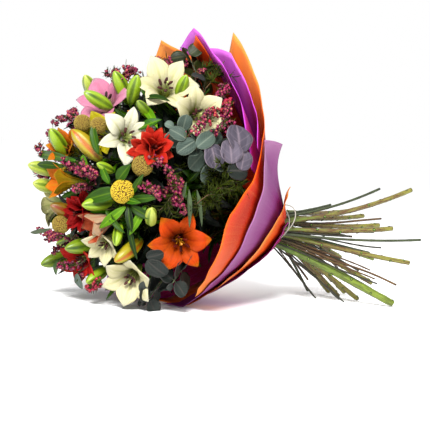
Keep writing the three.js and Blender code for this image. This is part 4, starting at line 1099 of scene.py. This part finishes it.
def build_eucalyptus(plant, rng):
    """A branch with opposite pairs of round leaves on short stalks, each pair turned on the one before."""
    pile = Pile()
    stem_tube(pile, plant, GREY_STEM, 8)
    curve = arc(plant.shoot_root(0), plant.ends[0], plant.tip)
    pile.twig(curve, 2.0, 0.8, 14, GREY_STEM, 7)
    outward = unit(plant.tip - DOME)
    for k in range(plant.pairs):
        u = TWIG_BARE + (1 - TWIG_BARE) * (k + 0.45) / plant.pairs
        at, ahead = curve(u), ahead_on(curve, u, 0.02)
        twist = math.radians(28 * (1 if k % 2 else -1) + 24 * (rng.random() - 0.5))
        across = turn(unit(np.cross(ahead, outward)), ahead, twist)
        up = np.cross(across, ahead)
        for side in (-1, 1):
            out = unit(side * across + ahead * rng.uniform(0.15, 0.5) + up * rng.uniform(-0.25, 0.3))
            big = GUM_LEAF * (1.05 - 0.4 * k / plant.pairs) * rng.uniform(0.88, 1.1)
            pile.tube([at, at + out * big * 0.16], [0.7, 0.6], GREY_STEM, 5)
            leaf = (at + out * big * 0.14, out, -up, big, big * 0.5)
            facts = dict(rows=12, columns=8, bend=rng.uniform(-0.12, 0.16), cup=0.14, wave=0.05)
            put_leaves(pile, [leaf], plant.look, rng, shape="round", **facts)
    last = (plant.tip, unit(plant.tip - curve(0.96)), -outward, GUM_LEAF * 0.45, GUM_LEAF * 0.18)
    put_leaves(pile, [last], plant.look, rng, shape="round", rows=8)
    publish(plant.name + "_branch", pile, [plant.name])


# Paper: (name, look, layer, rim of (column, length, flare, share of painted shade)), the same as the solids'

PAPERS = [
    ("paper_orange_top", PAPER_ORANGE, 0,
     [(24, 230, 0, 0.2), (27, 280, 0, 0.1), (29, 330, 0, 0),
      (30, 288, 0, 0.7), (31, 332, 0, 0.9), (32, 250, 0, 1)]),
    ("paper_purple_top", PAPER_PURPLE, 1,
     [(25, 262, 0, 0.5), (29, 290, 0, 0.3), (31, 344, 0, 0.2),
      (33, 306, 0, 0.8), (35, 246, 0, 1), (36, 226, 0, 1)]),
    ("paper_purple_panel", PAPER_PURPLE, 2,
     [(29, 250, 0, 0.1), (31, 300, 8, 0), (32, 300, 24, 0), (33, 250, 18, 0.8), (35, 220, 6, 0.9)]),
    ("paper_orange_near", PAPER_ORANGE, 3,
     [(30, 200, 10, 0), (31, 300, 52, 0), (32, 262, 44, 0.1), (34, 214, 16, 0.8), (35, 220, 10, 1),
      (36, 226, 4, 1), (38, 294, 0, 0.9), (40, 280, 0, 0.5), (42, 226, 0, 0.1), (43, 186, 0, 0.1)]),
    ("paper_purple_near", PAPER_MAUVE, 4,
     [(34, 160, 30, 0), (35, 236, 16, 0), (37, 206, 6, 0.15),
      (39, 204, 2, 0.2), (42, 220, 0, 0.9), (44, 236, 0, 1)]),
    ("paper_orange_low", PAPER_ORANGE, 5,
     [(34, 54, 16, 0), (38, 112, 8, 0), (41, 160, 4, 0),
      (44, 220, 0, 0.6), (46, 220, 0, 0.6), (47, 200, 0, 0.6)]),
    ("paper_purple_low", PAPER_LOW_PAINTED_LIGHT, 6,
     [(37, 24, 5, 0.7), (40, 80, 8, 0.7), (42, 124, 4, 0.4), (44, 176, 0, 0.3), (48, 172, 0, 0.3)]),
    ("paper_purple_far", PAPER_PURPLE, 2,
     [(45, 216, 0, 1), (47, 268, 0, 1), (49, 250, 0, 0.8),
      (52, 310, 0, 0.2), (54, 262, 0, 0.2), (56, 226, 0, 0.3)]),
    ("paper_orange_far", PAPER_ORANGE, 3,
     [(47, 206, 0, 0.3), (50, 288, 0, 0), (52, 250, 0, 0.2), (55, 298, 0, 0), (58, 232, 0, 0.3)]),
]
PAPER_COLUMN = 12
PAPER_LAYER = 2.6
PAPER_THICK = 0.4
PAPER_ROWS, STEPS_A_COLUMN = 27, 10
LAYERS_OVER_FLOOR, FLOOR_LAYER, LOWEST_LAYER = 5, 1.7, 0.5  # how the sheets lie on each other on the floor
BOWL_START_RADIUS = 34.5
BOWL_START_ALONG = -4
BOWL_START, BOWL_END = math.radians(47), math.radians(38)
BOWL_CURVED = 100


def bowl(around, length, off):
    """A point of the paper bowl, a length along it from the tie; off lifts it off the bowl, outwards."""
    rate = (BOWL_END - BOWL_START) / BOWL_CURVED
    angle = BOWL_START + rate * np.minimum(length, BOWL_CURVED)
    straight = np.maximum(length - BOWL_CURVED, 0)
    radius = (math.cos(BOWL_START) - np.cos(angle)) / rate + straight * np.sin(angle)
    along = (np.sin(angle) - math.sin(BOWL_START)) / rate + straight * np.cos(angle)
    radius = BOWL_START_RADIUS + radius + off * np.cos(angle)
    return round_axis(around, radius, BOWL_START_ALONG + along - off * np.sin(angle))


def zigzag(x):
    """A wave like a sine's, with straight sides and sharp folds."""
    return 2 / np.pi * np.arcsin(np.sin(x))


def folds(around, length):
    """The pleats and creases that all the sheets share, as a lift off the bowl."""
    share = length / 300
    wave = 2.6 * share**1.5 * zigzag(10 * around)
    pleats = 1.5 * (1 - zigzag(20 * around)) * np.exp(-((length / 80) ** 2))
    creases = 1.1 * share * zigzag(23 * around + 1.5 * share)
    return wave + pleats + creases


def build_paper(name, look, layer, rim):
    rim = np.array(rim, float)
    between = []
    for first, last in zip(rim, rim[1:]):
        steps = int(STEPS_A_COLUMN * (last[0] - first[0]))
        between.append(first + (last - first) * (np.arange(steps)[:, None] / steps))
    column, length, flare, deep = np.concatenate(between + [rim[-1:]]).T[:, None]
    around = np.radians(PAPER_COLUMN * column)
    share = np.linspace(0, 1, PAPER_ROWS)[:, None]
    reach = length * share
    off = layer * PAPER_LAYER + folds(around, reach) + flare * share**3
    points = bowl(around, reach, off)
    lowest = max(0, LAYERS_OVER_FLOOR - layer) * FLOOR_LAYER + LOWEST_LAYER
    points[..., 2] = np.maximum(points[..., 2], lowest)
    pile = Pile()
    # lay's chance carries each column's share of painted shade
    pile.slabs(points[None], lay_of(points, share, around, deep)[None], look, PAPER_THICK)
    publish(name + "_sheet", pile, [name])


# Twine and thin stems

TWINE_THICK = 1.0
THIN_STEMS = 17


def build_twine():
    pile = Pile()
    turns = 5
    t = np.linspace(0, 2 * np.pi * turns, 48 * turns + 1)
    radius = WAIST_RADIUS + 2.6 + 0.8 * np.sin(2.3 * t)
    lift = 3.38 * np.sin(t / turns + 0.4) * np.cos(0.37 * t)
    pile.tube(round_axis(t, radius, TWINE_ALONG + lift), np.full(len(t), TWINE_THICK), STRING, 7)
    t = np.linspace(0, 2 * np.pi, 73)
    for tallest, facing in ((30, 0.6), (17, 1.3)):
        along = TWINE_ALONG - 3 - tallest * (0.5 + 0.5 * np.cos(t - facing)) ** 2
        radius = WAIST_RADIUS * np.array([spread_at(a) for a in along]) + 2.2 + 0.5 * np.sin(5 * t)
        pile.tube(round_axis(t, radius, along), np.full(len(t), TWINE_THICK), STRING, 7)
    publish("twine_turns", pile, ["twine"])


def build_thin_stems(rng):
    """Thin woody ends between the stems, which run up into the head."""
    pile = Pile()
    for k in range(THIN_STEMS):
        waist = complex(*rng.normal(size=2))
        waist *= rng.uniform(0.35, 0.93) * WAIST_RADIUS / abs(waist)
        below, thick = rng.uniform(130, 262), rng.uniform(1.2, 2.1)
        along = np.linspace(-below, 80, 40)
        side = np.array([waist * np.exp(1j * turn_at(a)) * spread_at(a) for a in along])
        share = np.array([fan_share(a) for a in along])
        sway = 2.5 * np.sin(along / rng.uniform(18, 40) + 6 * rng.random()) * share
        up = side.real * (1 + FAN_TALLER * share) - FAN_DROP * share + sway
        points = TIE + own(along[:, None], up[:, None], (side.imag + sway)[:, None])
        low = max(0, thick + 0.4 - points[:, 2].min())
        points[:, 2] += low * share / share.max()
        to_knuckle = (along + below) % THIN_KNUCKLE_SPACE - THIN_KNUCKLE_SPACE / 2
        knuckles = 1 + 0.25 * np.exp(-((to_knuckle / 2.5) ** 2))
        pile.tube(points, thick * knuckles, DARK_STEM if k % 3 else WOOD, 7, rng.random(), PITH)
    publish("thin_stems", pile)


# Foliage between the flowers

# Leaves laid one by one: (root, tip, half of the width, shape, look)
LAID_LEAVES = [
    ((81, 27, 192), (50, 26, 208), 7, "oval", LEAF),
    ((93, 16, 196), (272, 42, 214), 7, "lance", FRESH),
    ((116, 10, 196), (235, 9, 212), 6, "lance", LEAF),
    ((83, 18, 192), (96, 25, 200), 5, "lance", FRESH),
    ((105, 41, 186), (125, 30, 197), 11, "oval", LEAF),
    ((99, 39, 188), (86, 44, 199), 9, "oval", LEAF),
    ((103, 36, 188), (91, 31, 199), 6, "lance", FRESH),
    ((107, 47, 186), (99, 59, 197), 6, "lance", LEAF),
    ((104, 47, 186), (90, 50, 196), 5, "lance", LEAF),
    ((112, 47, 186), (132, 43, 199), 7, "lance", FRESH),
    ((121, 40, 190), (124, 53, 198), 5, "lance", LEAF),
    ((111, 48, 186), (121, 55, 198), 6, "lance", LEAF),
    ((110, 49, 186), (110, 60, 196), 7, "lance", LEAF),
    ((106, 55, 184), (124, 55, 196), 6, "lance", FRESH),
    ((109, 43, 184), (105, 53, 197), 5, "lance", FRESH),
    ((117, 50, 186), (133, 64, 197), 4.5, "lance", LEAF),
    ((60, 44, 184), (57, 55, 193), 7, "oval", FRESH),
    ((42, 48, 182), (62, 53, 191), 7, "oval", FRESH),
    ((34, 50, 184), (45, 60, 193), 6, "oval", LEAF),
    ((91, 71, 184), (108, 77, 188), 3.5, "willow", SAGE),
    ((90, 75, 180), (106, 83, 184), 3, "willow", SAGE),
    ((88, 69, 184), (103, 69, 188), 2.6, "willow", SAGE),
    ((191, 50, 202), (197, 58, 216), 6, "lance", LEAF),
    ((172, 54, 204), (174, 61, 212), 9, "round", GUM),
    ((178, 32, 204), (213, 41, 220), 3.5, "willow", SAGE),
    ((69, 65, 202), (65, 58, 204), 11, "round", GUM),
    ((72, 70, 200), (64, 77, 200), 12, "round", GUM),
    ((69, 69, 200), (76, 62, 198), 12, "round", GUM),
    ((69, 76, 199), (79, 80, 195), 17, "round", MAUVE),
    ((69, 90, 198), (57, 88, 203), 24, "round", MAUVE),
    ((75, 87, 196), (65, 84, 201), 20, "round", MAUVE),
    ((76, 93, 193), (66, 93, 196), 17, "round", MAUVE),
    ((78, 86, 192), (75, 98, 190), 15, "round", GUM_DARK),
    ((33, 78, 206), (31, 72, 209), 9, "round", GUM_DARK),
    ((132, 78, 200), (129, 67, 203), 15, "round", GUM_DARK),
    ((128, 66, 202), (122, 71, 202), 11, "round", GUM_DARK),
    ((141, 72, 202), (147, 77, 203), 8, "round", GUM_DARK),
]
# Twigs of needles laid one by one: three places along each
LAID_TWIGS = [
    ((23, 78, 200), (24, 80, 208), (22, 83, 215)),
    ((36, 78, 198), (32, 82, 206), (28, 85, 213)),
    ((97, 76, 184), (90, 80, 188), (82, 88, 190)),
    ((88, 68, 186), (96, 64, 190), (104, 62, 194)),
]
# Sprays of small flowers laid one by one: (three places along each, look)
LAID_SPRAYS = [
    ((80, 50, 196), (84, 62, 200), (90, 66, 197), MAGENTA),
    ((88, 64, 194), (96, 65, 196), (102, 72, 194), MAGENTA),
    ((94, 50, 194), (96, 54, 197), (99, 60, 197), MAGENTA),
    ((69, 64, 202), (62, 72, 208), (54, 74, 208), MAGENTA),
    ((60, 73, 200), (50, 80, 207), (45, 87, 207), CERISE),
    ((46, 80, 198), (40, 85, 206), (35, 88, 210), MAGENTA),
    ((62, 80, 196), (54, 84, 204), (49, 84, 209), MAGENTA),
    ((52, 78, 200), (44, 82, 208), (38, 84, 210), MAGENTA),
    ((93, 19, 202), (99, 25, 206), (101, 31, 203), MAGENTA),
    ((190, 36, 204), (178, 36, 212), (166, 35, 208), MAGENTA),
    ((166, 50, 202), (176, 50, 209), (184, 49, 210), MAGENTA),
    ((158, 60, 200), (163, 62, 208), (169, 61, 210), CERISE),
]
FAR_SPRAYS = 14
FILLING_TWIGS = 210
FILLING_OUT = math.radians(92)  # how far from the head's axis the filling goes
NEEDLES_SHARE, DEEP_SHARE = 0.25, 0.85  # twigs of needles up to the first, dark leaves up to the second
TWIGS_START = 92


def from_inside(pile, end, thick=0.8):
    """A twig from the middle of the stems up to a place in the head."""
    middle = on_axis(TWIGS_START)
    start = middle + unit(end - middle) * 6
    curve = arc(start, start + AXIS * 60 + (end - start) * 0.3, end)
    pile.twig(curve, thick * 1.3, thick * 0.8, 6, WOOD, 4)
    return curve


def laid_twig(pile, places, thick):
    first, lever, last = (spot(p) for p in places)
    from_inside(pile, first)
    curve = arc(first, lever, last)
    pile.twig(curve, thick, 0.4, 9, WOOD, 5)
    return curve


def build_laid_leaves(rng):
    pile = Pile()
    for root, tip, half, shape, look in LAID_LEAVES:
        root, tip = spot(root), spot(tip)
        from_inside(pile, root)
        rise = unit((root + tip) / 2 - DOME)
        leaf = (root, unit(tip - root) + 0.25 * rise, -rise, np.linalg.norm(tip - root), half)
        cup = 0.12 if shape == "round" else 0.42
        put_leaves(pile, [leaf], look, rng, shape=shape, rows=14, columns=6, bend=0.25, cup=cup, wave=0.08)
    for places in LAID_TWIGS:
        wax_twigs(pile, laid_twig(pile, places, 0.8), rng, 3)
    publish("laid_leaves", pile)


def build_laid_sprays(rng):
    """Sprays in the gaps that the photograph shows, and more on the far side."""
    pile = Pile()
    for *places, look in LAID_SPRAYS:
        florets(pile, laid_twig(pile, places, 0.9), look, rng, 0.0, 54, 7.0)
    for _ in range(FAR_SPRAYS):
        around, out = rng.uniform(195, 380), rng.uniform(25, 84)
        first = spot((around, out, 188))
        last = spot((around + rng.uniform(-12, 12), out + rng.uniform(-10, 12), 208))
        middle = (first + last) / 2
        from_inside(pile, first)
        pile.tube([first, middle, last], [0.8, 0.7, 0.5], WOOD, 5)
        florets(pile, arc(first, middle, last), MAGENTA, rng, 0.0, 44, 7.0)
    publish("laid_sprays", pile)


def build_fill(rng):
    """Twigs with leaves or needles under the flowers, spread evenly over the head; most of the leaves are
    near-black, as painted shade inside the head.
    """
    pile = Pile()
    for k in range(FILLING_TWIGS):
        out = math.degrees(math.acos(1 - (k + 0.5) / FILLING_TWIGS * (1 - math.cos(FILLING_OUT))))
        around = math.degrees(k * GOLDEN_TURN) % 360
        low = 50 < around < 130 and out > 60
        end = spot((around + rng.uniform(-5, 5), out, rng.uniform(128, 166) - (14 if low else 0)))
        curve = from_inside(pile, end, 1.0)
        u = np.linspace(0.4, 1, 12)
        root, ahead = curve(u), ahead_on(curve, u, limit=1.02)
        side = unit(np.cross(ahead, [[0.3, 0.2, 1.0]]))
        side = turn(side, ahead, LEAF_TURN * np.arange(len(u)) + rng.random() * 6)
        outs, droop = unit(ahead * 0.8 + side * 0.8), unit(side - 0.4 * ahead)
        long = rng.uniform(24, 42, len(u))
        keep = ~in_front_of_bloom(root + outs * long[:, None])
        kind = rng.random()
        if kind < NEEDLES_SHARE:
            needles(pile, curve, rng, 0.5, 60, 12.0)
        elif keep.any():
            # most leaves are near-black painted shade, the rest lily leaves
            look, chance = PAINTED_SHADE_LEAF if kind < DEEP_SHARE else LEAF, rng.random(keep.sum())
            facts = [x[keep] for x in (root, outs, droop, long, long * 0.17)]
            pile.leaves(*facts, look, chance, rows=4, columns=2, bend=0.3)
    publish("filling_leaves", pile)


BUILDERS = {
    "lily": build_lily,
    "craspedia": build_craspedia,
    "eucalyptus": build_eucalyptus,
    "spray": build_spray,
    "needles": build_spray,
}
rng = np.random.default_rng(7)
plants = grow_plants()
for plant in plants:
    BUILDERS[plant.kind](plant, rng)
for sheet in PAPERS:
    build_paper(*sheet)
build_twine()
build_thin_stems(rng)
build_fill(rng)
build_laid_leaves(rng)
build_laid_sprays(rng)

# Floor, light and world


def make_stage():
    bpy.ops.mesh.primitive_plane_add(size=60)
    floor = bpy.context.object
    floor.name = "floor"
    floor.data.materials.append(Look("floor_white", 0.9, 0.0).colour((1.0, 1.0, 1.0, 1.0)))
    world = bpy.data.worlds.new("studio")
    bpy.context.scene.world = world
    world.use_nodes = True
    sky = world.node_tree.nodes["Background"]
    sky.inputs[0].default_value = (1, 1, 1, 1)
    sky.inputs[1].default_value = 1.0


def make_lamp():
    place, target = np.array([-1.7, -1.9, 1.9]), np.array([-0.1, 0, 0.2])
    data = bpy.data.lights.new("key", "AREA")
    data.shape = "DISK"
    data.size, data.energy = 1.0, 240
    away = unit(place - target)
    side = unit(np.cross([0, 0, 1.0], away))
    stand(add("key", data), side, np.cross(away, side), away, place)


make_stage()
make_lamp()
bpy.context.scene.view_settings.view_transform = "Standard"
